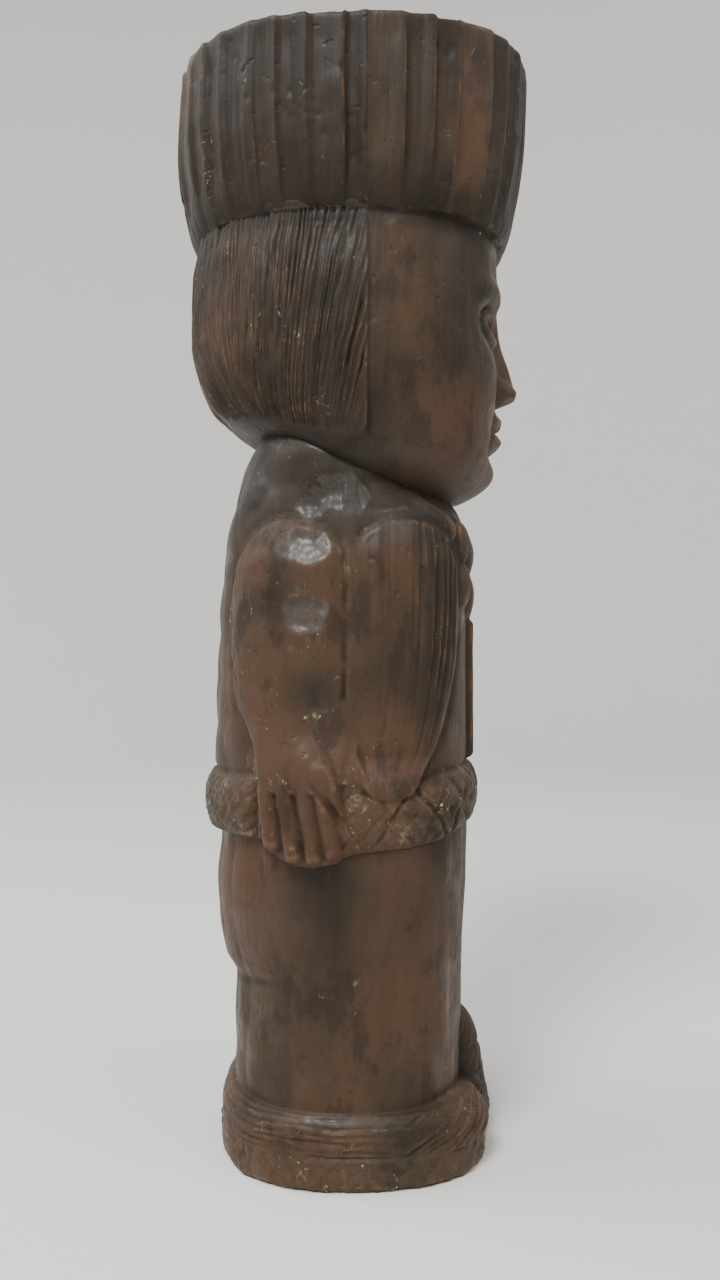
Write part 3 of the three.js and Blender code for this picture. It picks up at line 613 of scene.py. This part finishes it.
def lappetSurface(angle, z, under):  # the lappet in front of each arm, which ends on the belt
    level = under + (beltFull(angle) - under) * smooth(113, 104, z)
    front = level * np.cos(angle)
    other = np.where(np.sin(angle) < 0, arm["apart"], 0)
    inside = insideOutline(front, z, lappet["outline"])
    back, edge = curve(lappet["back"], z), curve(lappet["front"], z)
    share = (front - back) / np.maximum(edge - back, 1)
    towardsEdge = 0.35 + 0.85 * smooth(0.4, 0.75, share)
    strand = strokes(share * 15 + other, z / 26, 0.2, 1.1, 46) * towardsEdge
    strand = strand + strokes(share * 25 + other, z / 15, 0.26, 0.8, 48) * (0.35 + 0.65 * towardsEdge)
    strand = strand + 0.35 * noise(share * 5 + other, z / 20, 0, 49) + 0.8 * nicked(front + other, z, 140)
    low, high = smooth(101, 116, z), smooth(176, 162, z)
    rise = lappet["raised"] * (0.2 + 0.8 * low) * (0.45 + 0.55 * high) + strand * (0.3 + 0.7 * low)
    beside = smooth(16, 22, np.abs(level * np.sin(angle)))
    within = smooth(-0.3, 0.8, inside)
    rise = rise * (0.6 * within + 0.4 * smooth(0, 6, inside))
    return under + ((level - under) * within + rise) * beside, inside, beside


def limbSurface(angle, z, under):  # the arm and the hand that lies over the belt, far inside elsewhere
    onBelt, sunk = smooth(121, 106, z), arm["sunk"]
    level = under + (beltFull(angle) - under) * onBelt
    front = level * np.cos(angle)
    other = np.where(np.sin(angle) < 0, arm["apart"], 0)
    high = arm["raised"] * (0.35 + 0.65 * smooth(177, 160, z))
    high = high + (arm["handRaised"] - high) * onBelt
    outline = insideOutline(front + 0.25 * noise(z / 3, other, 0, 40), z, arm["outline"])
    swell = 0.45 * smooth(0, arm["edge"], outline) + 0.55 * (1 - (1 - smooth(0, arm["round"], outline)) ** 2)
    rise = arm["low"] + (high - arm["low"]) * swell
    facets = (0.9 - 0.5 * onBelt) * scoops(front / 9 + other, z / 14, 43)
    cut, bed = gouges(front, z, arm["gouges"])
    nicks = 1.4 * nicked(front + other, z, 110)
    muscle = 0.25 * noise(front / 8 + other, z / 15, 0, 41)
    rise = rise - (facets + cut - muscle) * smooth(0, 2, outline) + nicks
    rise = np.where(outline > 0, rise, sunk)
    web = insideOutline(front, z, arm["web"])
    webRise = arm["webRaised"] * (1 - 0.8 * onBelt) - 0.7 * bell(front + 4.5, 3) * bell(z - 116, 5)
    rise = np.maximum(rise, np.where(web > 0, webRise - 0.7 * smooth(2.4, 0, web), sunk))
    rise = np.where(z < 103, sunk + (rise - sunk) * smooth(100, 103, z), rise)
    size = fingers["radius"]
    spread = smooth(-25, -23.5, front) * smooth(-1.5, -3, front) * smooth(104, 101, z)
    floor = fingers["low"] + 0.8 * smooth(-20, -17, front)
    rise = np.where(spread > 0.01, np.maximum(rise, sunk + (floor - sunk) * spread), rise)
    for knuckle, tip in fingers["lines"]:
        bent = front + 0.3 * noise(z / 5, knuckle[0], 0, 42)
        within = insideTaper(bent, z, (*knuckle, size), (*tip, size * 0.92))
        shape = np.sqrt(unit(1 - (1 - unit(within / size)) ** 2))
        knock = 0.5 * scoops(front / 5 + other, z / 6, 47)
        finger = fingers["low"] + (fingers["raised"] - fingers["low"]) * shape - knock
        rise = np.maximum(rise, np.where(within > 0, finger, sunk))
    start, end = fingers["thumb"]
    within = insideTaper(front, z, start, end)
    shape = 1 - (1 - smooth(0, 1.8, within)) ** 2
    rise = rise - 1.0 * bell(within + 0.5, 0.5) * smooth(108, 104, z)
    thumb = fingers["low"] + (fingers["thumbRaised"] - fingers["low"]) * shape
    rise = np.maximum(rise, np.where(within > 0, thumb, sunk))
    beside = np.abs(level * np.sin(angle)) > 20
    return np.where(beside, level + rise, 0), bed * (outline > 0) * beside


def chestRelief(side, z):
    edge = chest["sashHalf"] - np.abs(side)
    pleat = 0.35 * np.cos(fullTurn * side / 3.1) + strokes(side / 1.5 + 60, z / 14, 0.2, 0.3, 51)
    ends = smooth(chest["sashTop"] + 1, chest["sashTop"] - 1, z)
    out = (chest["sashRaised"] + pleat) * smooth(-0.4, 0.6, edge) * ends
    out = out - 0.7 * bell(edge + 0.7, 0.6) * ends
    for level, count in chest["rows"]:
        for i in range(count):
            middle = (i - (count - 1) / 2) * chest["pitch"]
            up = z - level - middle * middle / chest["bend"]
            off = np.hypot((side - middle) / chest["halfWidth"], up / chest["halfHeight"])
            bead = chest["raised"] * unit(1 - off**2) ** 0.55
            quill = 0.5 * bell(side - middle, 0.4) + 0.2 * np.abs(np.sin((up + np.abs(side - middle)) * 2))
            out = np.maximum(out, bead - quill * smooth(0.9, 0.5, off))
    return out


def beltRelief(angle, z):
    along = turns(angle, belt["lozenges"])
    low, top = beltEdges(angle)
    up = (z - low) / (top - low)
    pitch = fullTurn * belt["latticeRadius"] / belt["lozenges"]
    wander = 0.14 * hills(angle, z, 33, 6, 61)
    cuts = 0
    for way in (1, -1):
        off = along + way * up + wander
        pressed = 0.6 + 0.6 * chance(np.round(off) % belt["lozenges"], way + 3)
        pressed = pressed * (0.85 + 0.35 * noise(turns(angle, 40), z / 4, way, 62, 40))
        cuts = np.maximum(cuts, bell((off - np.round(off)) * pitch * 0.86, 0.5) * pressed)
    towardsFront = 0.25 + 0.75 * smooth(0.0, 0.55, np.cos(angle))
    dot = np.hypot((along - np.round(along)) * pitch, (up - 0.5) * 18)
    other = np.hypot((along - np.floor(along) - 0.5) * pitch, (np.abs(up - 0.5) - 0.42) * 18)
    dots = 0.9 * bell(dot, 0.9) + 0.5 * bell(other, 0.8)
    around = fromFront(angle) * belt["nickRadius"]
    recess = 2.0 * bell(beltFull(angle) * np.cos(angle) + 26 - 0.12 * (z - 95), 1.2) * smooth(86, 92, z)
    hatch = strokes(turns(angle, 105) + z * 0.37, turns(angle, 24), 0.2, 0.5, 63, 24) * (1.35 - towardsFront)
    crossing = strokes(turns(angle, 82) - z * 0.3, turns(angle, 31), 0.14, 0.5, 70, 31)
    hatch = hatch + crossing * (1.1 - 0.6 * towardsFront)
    rough = 0.3 * hills(angle, z, 90, 2.4, 65) + 0.35 * hills(angle, z, 16, 9, 66)
    rough = rough - 0.9 * beds(angle, z, 38, 8, 67) - 0.35 * beds(angle, z, 84, 3.6, 88)
    rough = rough + 0.16 * hills(angle, z, 190, 1.1, 64)
    lasting = smooth(0, 0.4, noise(around / 5, z / 4, 0, 69))
    nicks = strokes(around / 3.1 + z / 2.2, around / 2, 0.1, 0.6, 68) * lasting
    return -(belt["cut"] * cuts + dots) * towardsFront + hatch + rough + nicks - recess


def carveBody():
    angle = gridAngles(torso["columns"])
    a = fromFront(angle)
    jaw = jawHeight(angle)
    edge = 0 * angle
    full = beltFull(angle)
    front = full * np.cos(angle)
    foot, top = beltEdges(angle)
    z = levels(foot, top, torso["beltRows"])
    limb, bed = limbSurface(angle, z, full)
    radius = beltPlan(angle, z) + beltRelief(angle, z) * smooth(0, 1.5, z - foot) * smooth(0, 1.5, top - z)
    between = smooth(3.6, 2.2, np.abs(front - 0.4)) * smooth(99, 103, z)  # fills the gap beside the thumb
    radius = np.maximum(radius, (full - 0.7) * (between > 0) - 3.5 * (1 - between))
    radius = np.maximum(lappetSurface(angle, z, radius)[0], limb)
    middle = torso["middle"] + edge
    z2 = np.vstack([levels(top, middle, torso["handRows"]), levels(middle, jaw, torso["chestRows"])[1:]])
    base = torsoPlan(angle, z2)
    side = base * np.sin(angle)
    onFlank = np.abs(side) > torso["flank"]
    surface, inside, near = lappetSurface(angle, z2, base)
    out = surface - base - 0.6 * bell(inside + 0.8, 0.7) * near * smooth(103, 110, z2)
    out = out + chestRelief(side, z2) * smooth(30, 24, np.abs(side)) * (np.cos(angle) > 0)
    plain = smooth(-0.3, -0.75, np.cos(angle)) + smooth(164, 174, z2)
    facets = 1.5 * beds(angle, z2, 22, 12, 55) * np.clip(plain, 0.15, 1)
    cut, shoulderBed = gouges(base * np.cos(angle), z2, shoulderGouges)
    cut = cut * onFlank
    grain = 0.06 * hills(angle, z2, 420, 8, 56)
    chestRadius = base + out * smooth(0, 6, jaw - z2) - (facets + grain + cut) * smooth(0, 2, jaw - z2)
    limb, armBed = limbSurface(angle, z2, base)
    beside = insideOutline(base * np.cos(angle), z2, arm["outline"])
    groove = 0.5 * bell(beside + 0.5, 0.6) * smooth(104, 107, z2) * onFlank
    seam = np.abs(base * np.cos(angle) + 0.1)
    seamHalf = 1.8 + 1.8 * smooth(114, 106, z2)
    seamRise = 1.6 * smooth(168, 158, z2) - 1.8 * smooth(127, 112, z2)
    seamFloor = base + (full - base) * smooth(121, 106, z2) + seamRise * smooth(1, 0.5, seam / seamHalf)
    seamFloor = np.where(seam < seamHalf, seamFloor * onFlank, 0)
    chestRadius = np.maximum(np.maximum(chestRadius - groove, limb), seamFloor)
    steps = np.array([[1], [2], [3]])
    under = [radius[:1] * 0.6, radius[:1] * 0.8, radius[:1] - 2.5]
    zAll = np.vstack([z[:1]] * 3 + [z, z2[1:], jaw + steps])
    radius = np.vstack(under + [radius, chestRadius[1:], chestRadius[-1:] - 2 * steps])
    # painted sheen, with real gloss too: a grey sheen in the beds of the arm and shoulder gouges and in
    # patches below the jaw
    polishAndSheen = np.vstack([bed[:1]] * 3 + [bed, np.maximum(armBed, shoulderBed)[1:]] + [edge] * 3)
    greySheen = 0.8 * smooth(24, 12, jaw - zAll) * smooth(-0.3, 0.3, hills(angle, zAll, 13, 9, 59) + 0.3)
    polishAndSheen = np.maximum(polishAndSheen, greySheen)
    armShare = smooth(0.9, 1.2, a) * smooth(2.4, 2.1, a)
    tone = 0.56 + 0.2 * armShare + 0.3 * hills(angle, zAll, 9, 26, 57)
    tone = tone - 0.2 * smooth(170, 178, zAll) - 0.5 * bell(zAll - 152, 9) * bell(a - 2.1, 0.2)
    tone = tone - 0.5 * bell(zAll - 129, 7) * bell(a - 1.85, 0.2) - 0.16 * bell(zAll - 94, 13)
    rub = 0.25 + 0.45 * bell(zAll - 170, 7) + 0.5 * bell(zAll - 94, 12)
    dust = 0.2 + 0.6 * smooth(114, 103, zAll) + 0.15 * smooth(0.2, 0.6, hills(angle, zAll, 14, 15, 58))
    dust = dust - 0.45 * smooth(-27, -24, front) * smooth(0, -4, front) * smooth(114, 108, zAll)
    for place, level, size in belt["caked"]:
        dust = dust + 0.8 * bell(np.hypot(front - place, zAll - level), size) * (np.sin(angle) > 0.3)
    crevice = bell(beside + 0.3, 1.3) * onFlank
    dust = dust + 0.55 * np.vstack([edge] * 3 + [0 * z, crevice[1:]] + [edge] * 3)
    joint = 0.8 * smooth(4, 1, jaw - zAll) + 0.7 * smooth(2.2, 0.8, zAll - foot)
    marks = {"tone": tone, "dust": dust, "polishAndSheen": polishAndSheen, "rub": rub, "joint": joint}
    return carve("carvedBody", angle, zAll, radius, 0.0, marks, (len(under), len(steps)))


trousers = {
    "columns": 560, "slabRows": 16, "moundRows": 26, "knobRows": 26, "legRows": 52,
    "underShare": 0.02, "underRows": 14,
    "front": [(19, 30.8), (35, 31.4), (56, 31.8), (77, 32.6), (87, 33.0)],
    "back": [(19, 33.6), (40, 33.4), (47, 33.2), (50.5, 34), (54, 36), (66, 38.2), (74, 38.6), (87, 37.2)],
    "half": [(19, 35.0), (50, 35.2), (70, 36.0), (87, 36.6)],
}
mound = {
    "slabTop": 8.3, "hem": 18.8, "front": 38.2, "back": 37.2, "half": 38.5, "shoulder": 8.5, "setback": 3.9,
    "cutRadius": 38,
}
knob = {
    "top": 36.5, "halfWidth": 12, "round": 8,
    "reach": [(0, 39.6), (8.3, 40.0), (15, 38.8), (25.4, 37.0), (30, 35.8), (34, 33.4), (36.5, 29.5)],
}
feet = {"side": 23, "halfWidth": 11, "top": 16, "raised": 2.2, "cleft": 12.5, "cleftDepth": 2}


def knobPlan(angle, z):
    reach = curve(knob["reach"], z)
    t = np.abs(reach * np.sin(angle)) / knob["halfWidth"]
    inside = (np.cos(angle) > 0) & (z < knob["top"]) & (t < 1)
    return np.where(inside, reach - knob["round"] * (1 - np.sqrt(1 - np.minimum(t, 1) ** 2)), 0)


def trouserPlan(angle, z):
    return planOf(trousers, angle, z, torso["square"])


def moundPlan(angle, z):
    full = oval(angle, mound["front"], mound["back"], mound["half"], 2.5)
    t = unit((z - (mound["hem"] - mound["shoulder"])) / mound["shoulder"])
    return full - mound["setback"] * (1 - np.sqrt(1 - t * t))


def trouserRelief(angle, radius, z):
    side = radius * np.sin(angle)
    divide = 1.5 * bell(side, 1.5) * (np.cos(angle) > 0) * smooth(66, 54, z)
    divide = divide + 1.1 * bell(side, 2.1) * (np.cos(angle) < 0) * (0.4 + 0.6 * smooth(48, 58, z))
    planes = 0.9 * beds(angle, z, 25, 34, 71) + 0.3 * beds(angle, z, 30, 14, 72)
    fold = 48.8 + 0.011 * (np.abs(side) - 14) ** 2
    crease = 0.55 * bell(z - fold, 1.5) * smooth(-0.2, -0.7, np.cos(angle)) * smooth(0, 9, np.abs(side))
    dents = 0.2 * hills(angle, z, 31, 9, 73) + 0.03 * hills(angle, z, 420, 8, 74)
    dents = dents + 0.7 * nicked(side + apart * (np.cos(angle) > 0), z, 120)
    return -divide - planes + dents - crease


def footRelief(angle, radius, z):
    side = np.abs(radius * np.sin(angle))
    foot = np.sqrt(unit(1 - ((side - feet["side"]) / feet["halfWidth"]) ** 2))
    out = feet["raised"] * foot * smooth(feet["top"] + 2, feet["top"] - 4, z)
    return (out - feet["cleftDepth"] * bell(side - feet["cleft"], 1.6)) * (np.cos(angle) > 0)


def moundRelief(angle, z):  # long level cuts, which turn upwards to the knob in front
    forward = smooth(0.05, 0.55, np.cos(angle))
    dip = 0.8 * hills(angle, z, 12, 12, 81)
    level = strokes((z + dip) / 1.6 + 30, turns(angle, 19), 0.24, 0.9, 82, 19)
    level = level + strokes((z + dip) / 1.2 + 70, turns(angle, 41), 0.28, 0.6, 84, 41)
    level = level - 0.5 * beds(angle, z, 30, 5, 87)
    slope = np.where(np.sin(angle) > 0, 1, -1)
    around = fromFront(angle) * mound["cutRadius"]
    rising = strokes((z + around * 0.55) / 1.7 + 40 + 50 * slope, around / 7, 0.26, 0.8, 85)
    rising = rising + strokes((z + around * 0.4) / 1.1 + 40 + 50 * slope, around / 5, 0.28, 0.5, 86)
    cuts = level * (1 - forward) + rising * forward
    return cuts * smooth(0, 1.2, mound["hem"] - z) * smooth(0, 1.2, z - mound["slabTop"])


def carveLegs():
    angle = gridAngles(trousers["columns"])
    edge = 0 * angle
    z = levels(edge, edge + mound["slabTop"], trousers["slabRows"])
    base = np.maximum(moundPlan(angle, z), knobPlan(angle, z))
    x, y = base * np.sin(angle), base * np.cos(angle)
    rough = 0.35 * noise(x / 2.2, y / 2.2, z / 2, 91) + 0.35 * noise(x / 7, y / 7, z / 6, 92)
    rough = rough + 0.2 * noise(x / 0.9, y / 0.9, z / 0.9, 94)
    adze = 0.35 * scoops(turns(angle, 44), z / 5 + 3, 93, 44)
    slab = base + footRelief(angle, base, z) * 0.6 + rough - adze - 0.9 * smooth(1.6, 0, z) - 0.2
    z2 = levels(edge + mound["slabTop"], edge + mound["hem"], trousers["moundRows"])[1:]
    base = np.maximum(moundPlan(angle, z2), knobPlan(angle, z2))
    undercut = 0.4 * smooth(mound["slabTop"] + 1.2, mound["slabTop"], z2)
    bank = base + footRelief(angle, base, z2) + moundRelief(angle, z2) - undercut
    bank = np.maximum(bank, trouserPlan(angle, mound["hem"]) + 0.1)
    z3 = np.vstack([
        levels(edge + mound["hem"], edge + knob["top"] + 0.5, trousers["knobRows"]),
        levels(edge + knob["top"] + 0.5, beltEdges(angle)[0] + 0.8, trousers["legRows"])[1:],
    ])
    base = trouserPlan(angle, z3)
    legs = base + trouserRelief(angle, base, z3)
    inFront = knobPlan(angle, z3)
    side = inFront * np.sin(angle)
    knobCuts = strokes((side + z3 * 0.6) / 2.2 + 60, z3 / 9, 0.24, 0.7, 95)
    knobCuts = knobCuts - 0.7 * bell(z3 - 25.3, 0.9) - 0.3 * scoops(side / 6 + 30, z3 / 7, 96)
    legs = np.maximum(legs, np.where(inFront > 0, inFront + knobCuts, 0))
    under = slab[:1] * levels(trousers["underShare"] + edge, 1 + edge, trousers["underRows"])[:-1]
    zUnder = 0.0 * under
    zAll = np.vstack([zUnder, z, z2, z3, z3[-1:] + 0.7])
    radius = np.vstack([under, slab, bank, legs, legs[-1:] * 0.7])
    tone = 0.86 + 0.4 * hills(angle, zAll, 11, 40, 97) * smooth(8, 16, zAll)
    # painted shade: darker in the front middle, on the knob and below it
    knobShade = np.where(np.cos(angle) > 0, smooth(15, 10, np.abs(radius * np.sin(angle))), 0)
    tone = tone - 0.35 * knobShade * smooth(42, 34, zAll)
    dust = 0.12 + 0.5 * smooth(22, 16, zAll) + 0.2 * smooth(9, 7, zAll)
    # painted highlights, with real gloss too: along the mound's top edge at the side and along the slab's top
    # edge
    polishAndSheen = 1.2 * bell(zAll - 17.4, 1.5) * bell(fromFront(angle) - 1.65, 0.4)
    polishAndSheen = polishAndSheen + 0.6 * bell(zAll - 8.6, 0.5) * bell(fromFront(angle) - 1.5, 0.5)
    rub = 0.15 + 0.2 * smooth(22, 16, zAll)
    joint = 0.7 * bell(zAll - mound["hem"], 1)
    marks = {"tone": tone, "dust": dust, "polishAndSheen": polishAndSheen, "rub": rub, "joint": joint}
    return carve("carvedLegs", angle, zAll, radius, 0.0, marks, (len(under), 1), 0)


class Wire:  # one output of a shader node, which can be used in sums
    def __init__(self, finish, socket):
        self.finish = finish
        self.socket = socket

    def maths(self, operation, left, right):
        return self.finish.add("ShaderNodeMath", {"operation": operation}, {0: left, 1: right})

    def __add__(self, other):
        return self.maths("ADD", self, other)

    def __sub__(self, other):
        return self.maths("SUBTRACT", self, other)

    def __rsub__(self, other):
        return self.maths("SUBTRACT", other, self)

    def __mul__(self, other):
        return self.maths("MULTIPLY", self, other)

    def __abs__(self):
        return self.maths("ABSOLUTE", self, 0.0)

    __radd__ = __add__
    __rmul__ = __mul__


class Finish:  # a material and the few ways it is built up
    def __init__(self, name):
        self.material = bpy.data.materials.new(name)
        self.material.use_nodes = True
        self.tree = self.material.node_tree
        self.shader = self.tree.nodes["Principled BSDF"]

    def plug(self, socket, value):
        if isinstance(value, Wire):
            self.tree.links.new(value.socket, socket)
        elif isinstance(value, tuple) and len(value) == 3 and socket.type == "RGBA":
            socket.default_value = (*value, 1)
        else:
            socket.default_value = value

    def add(self, kind, settings, sockets, output=0):
        node = self.tree.nodes.new(kind)
        for key, value in settings.items():
            setattr(node, key, value)
        for key, value in sockets.items():
            self.plug(node.inputs[key], value)
        return Wire(self, node.outputs[output])

    def attribute(self, name):
        return self.add("ShaderNodeAttribute", {"attribute_name": name}, {}, "Fac")

    def scaled(self, place, scale):
        return self.add("ShaderNodeMapping", {}, {"Vector": place, "Scale": scale})

    def cloud(self, place, scale, detail=3, rough=0.55):
        sockets = {"Vector": place, "Scale": scale, "Detail": detail, "Roughness": rough}
        return self.add("ShaderNodeTexNoise", {}, sockets, "Fac")

    def ramp(self, value, low, high):
        sockets = {"Value": value, "From Min": low, "From Max": high}
        return self.add("ShaderNodeMapRange", {"interpolation_type": "SMOOTHSTEP"}, sockets)

    def blend(self, share, first, second):
        settings = {"data_type": "RGBA", "clamp_factor": True}
        return self.add("ShaderNodeMix", settings, {0: share, 6: first, 7: second}, 2)

    def bump(self, height, distance, strength, normal=None):
        sockets = {"Height": height, "Distance": distance, "Strength": strength}
        if normal:
            sockets["Normal"] = normal
        return self.add("ShaderNodeBump", {}, sockets)

    def applied(self, values):
        for key, value in values.items():
            self.plug(self.shader.inputs[key], value)
        return self.material


# in this table, hollow is the near-black of painted shade in recesses, and the grey after it is painted sheen
wood = {
    "dark": (0.0150, 0.0094, 0.0058), "brown": (0.0475, 0.0306, 0.0166), "red": (0.068, 0.0322, 0.0165),
    "ridge": (0.140, 0.074, 0.036), "hollow": (0.0095, 0.0065, 0.0046), "greySheen": (0.060, 0.056, 0.050),
    "scratch": (0.20, 0.15, 0.10), "earth": (0.068, 0.054, 0.031),
    "cream": (0.42, 0.36, 0.22), "green": (0.10, 0.095, 0.04),
    "patches": 36, "grain": 420, "bump": 0.0004, "specular": 0.18, "coatRoughness": 0.31,
    "sheen": 0.04, "sheenRoughness": 0.45, "sheenTint": (1.0, 0.97, 0.92),
}


def stainedWood():
    finish = Finish("stainedWood")
    cloud, ramp, scaled = finish.cloud, finish.ramp, finish.scaled
    labels = ("hollow", "worn", "tone", "dust", "polishAndSheen", "rub")
    hollow, worn, tone, dust, polishAndSheen, rub = (finish.attribute(label) for label in labels)
    place = finish.add("ShaderNodeTexCoord", {}, {}, "Object")
    streaks = scaled(place, (1, 1, 0.07))
    patches = cloud(scaled(place, (1, 1, 0.38)), wood["patches"], 4, 0.6)
    broad = cloud(place, wood["patches"] * 0.5, 2)
    grain = cloud(streaks, wood["grain"], 3, 0.7)
    pores = cloud(streaks, wood["grain"] * 3, 2, 0.6)
    mottle = cloud(place, wood["patches"] * 9, 4, 0.65)

    warmth = ramp(patches * 0.65 + tone * 0.5, 0.42, 0.78)
    redness = ramp(patches * 0.5 + broad * 0.35 + tone * 0.42, 0.62, 0.86)
    blotches = ramp(cloud(scaled(place, (1, 1, 0.55)), 105, 4, 0.65), 0.52, 0.62)
    rubbed = ramp(worn, 0.3, 0.95) * ramp(cloud(place, 150, 3) + rub * 0.3, 0.55, 0.72)
    rubbed = rubbed * (0.35 + ramp(cloud(place, 800, 2), 0.42, 0.58) * 0.65)
    film = ramp(broad * 0.6 + mottle * 0.5, 0.55, 0.75)
    dirt = ramp(dust, 0.4, 0.9) * ramp(cloud(place, 420, 4, 0.7), 0.42, 0.62)
    crumbs = ramp(cloud(place, 560, 4, 0.65), 0.64, 0.7)
    crumbs = crumbs * ramp(cloud(place, 95, 2) + dust * 0.2 + hollow * 0.1, 0.66, 0.76)
    caked = ramp(dust, 0.93, 1.0) * ramp(cloud(place, 480, 4, 0.7), 0.46, 0.62)
    moss = ramp(cloud(place, 60, 3) + hollow * 0.12 + dust * 0.05, 0.72, 0.82)
    lines = abs(cloud(scaled(place, (1, 1, 0.35)), 260, 1, 0.3) - 0.5)
    scratches = ramp(lines, 0.012, 0.002) * ramp(cloud(place, 190, 1) + dust * 0.22, 0.67, 0.75)
    scratches = scratches * ramp(cloud(place, 700, 2), 0.48, 0.56)

    colour = wood["dark"]
    for share, tint in (  # each coat goes over the ones before it
        (warmth, "brown"), (redness * 0.85, "red"),
        (ramp(grain, 0.35, 0.72) * 0.15, "brown"), (ramp(pores, 0.56, 0.7) * 0.18, "dark"),
        (ramp(mottle, 0.52, 0.72) * 0.3, "dark"), (blotches * 0.55, "dark"), (rubbed * 0.62, "ridge"),
        # painted shade: the hollow coat darkens recesses; the film after it is a faint grey over random
        # patches
        (ramp(hollow, 0.1, 0.95) * 0.6, "hollow"), (film * 0.12, "greySheen"), (dirt * 0.45, "earth"),
        (crumbs * 0.85, "cream"), (caked * 0.22, "cream"), (moss * 0.4, "green"),
        # painted sheen and highlights: this mark lays a grey sheen into the colour, besides the real gloss it
        # gives the coat
        (scratches * 0.5, "scratch"), (polishAndSheen * 0.42, "greySheen"),
    ):
        colour = finish.blend(share, colour, wood[tint])

    shine = ramp(cloud(place, 70, 2), 0.54, 0.66)
    sparkle = ramp(cloud(place, 650, 3, 0.7), 0.44, 0.64)
    roughness = 0.55 - shine * 0.12 + polishAndSheen * 0.03 + (mottle - 0.5) * 0.25 + hollow * 0.2
    coat = 0.015 + polishAndSheen * (0.06 + sparkle * 0.34) + shine * 0.07
    tooled = cloud(scaled(place, (1, 1, 0.7)), 520, 3, 0.65) * ramp(dust, 0.45, 0.9)
    height = grain * 0.5 + pores * 0.35 + mottle * 0.5 + tooled * 2.2
    normal = finish.bump(height, wood["bump"], 0.5)
    nicks = ramp(cloud(place, 300, 2, 0.5), 0.62, 0.8)
    normal = finish.bump(1 - nicks, wood["bump"], 0.6, normal)
    return finish.applied({
        "Base Color": colour, "Roughness": roughness, "Normal": normal, "Coat Weight": coat,
        "Specular IOR Level": wood["specular"], "Coat Roughness": wood["coatRoughness"],
        "Sheen Weight": wood["sheen"], "Sheen Roughness": wood["sheenRoughness"],
        "Sheen Tint": wood["sheenTint"],
    })


studio = {
    "cameraAway": 307, "cameraForward": 2.34, "cameraHeight": 142, "focal": 1050, "longSide": 1280,
    "floorRadius": 1600, "wallHeight": 1500, "cove": 700, "coveSteps": 12, "turnSteps": 96,
    "floor": (0.74, 0.73, 0.705), "floorRoughness": 0.85,
    "key": {"place": (-0.60, 0.28, 0.95), "size": 0.36, "power": 12.5, "colour": (0.95, 0.97, 1.0)},
    "window": {"place": (0.1, 1.1, 1.3), "size": 1.0, "power": 15, "colour": (0.95, 0.97, 1.0)},
    "fill": {"place": (-0.5, -0.9, 1.2), "size": 1.0, "power": 7, "colour": (1.0, 0.94, 0.86)},
    "aimHeight": 0.15, "world": (0.97, 0.98, 1.0), "worldStrength": 0.56,
}


def makeCamera():
    lens = bpy.data.cameras.new("camera")
    lens.sensor_width = 36
    lens.lens = lens.sensor_width * studio["focal"] / studio["longSide"]
    lens.clip_start = 0.01
    camera = addObject("camera", lens)
    away, forward, height = (studio[key] * mm for key in ("cameraAway", "cameraForward", "cameraHeight"))
    camera.location = (-away, -forward, height)
    camera.rotation_euler = (math.pi / 2, 0, -math.pi / 2)
    bpy.context.scene.camera = camera


def makeLight(name):
    table = studio[name]
    lamp = bpy.data.lights.new(name, "AREA")
    lamp.shape = "DISK"
    lamp.size = table["size"]
    lamp.energy = table["power"]
    lamp.color = table["colour"]
    light = addObject(name, lamp)
    x, y, z = table["place"]
    light.location = (x, y, z)
    light.rotation_euler = (math.atan2(math.hypot(x, y), z - studio["aimHeight"]), 0, math.atan2(x, -y))


def makeStage():
    bm = bmesh.new()
    radius, cove, steps = studio["floorRadius"] * mm, studio["cove"] * mm, studio["coveSteps"]
    points = [bm.verts.new((0, 0, 0))]
    for i in range(steps + 1):
        turn = math.pi / 2 * i / steps
        points.append(bm.verts.new((radius - cove + cove * math.sin(turn), 0, cove - cove * math.cos(turn))))
    points.append(bm.verts.new((radius, 0, studio["wallHeight"] * mm)))
    profile = [bm.edges.new(pair) for pair in zip(points, points[1:])]
    bmesh.ops.spin(
        bm, geom=points + profile, cent=(0, 0, 0), axis=(0, 0, 1),
        angle=fullTurn, steps=studio["turnSteps"], use_merge=True,
    )
    bmesh.ops.remove_doubles(bm, verts=bm.verts, dist=1e-5)
    floor = smoothObject("floor", bm, bpy.data.meshes.new("floor"))
    paper = Finish("palePaper")
    floor.data.materials.append(paper.applied({
        "Base Color": studio["floor"], "Roughness": studio["floorRoughness"],
    }))


makeCamera()
makeStage()
print("stage ready")

stain = stainedWood()
for build in (carveCrown, carveHead, carveBody, carveLegs):
    piece = build()
    piece.data.materials.append(stain)
    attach(piece, "root")
    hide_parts("carved_figure")
print("figure ready")

for name in ("key", "window", "fill"):
    makeLight(name)
world = bpy.data.worlds.new("world")
world.use_nodes = True
sky = world.node_tree.nodes["Background"].inputs
sky["Color"].default_value = (*studio["world"], 1)
sky["Strength"].default_value = studio["worldStrength"]
bpy.context.scene.world = world
print("light ready")
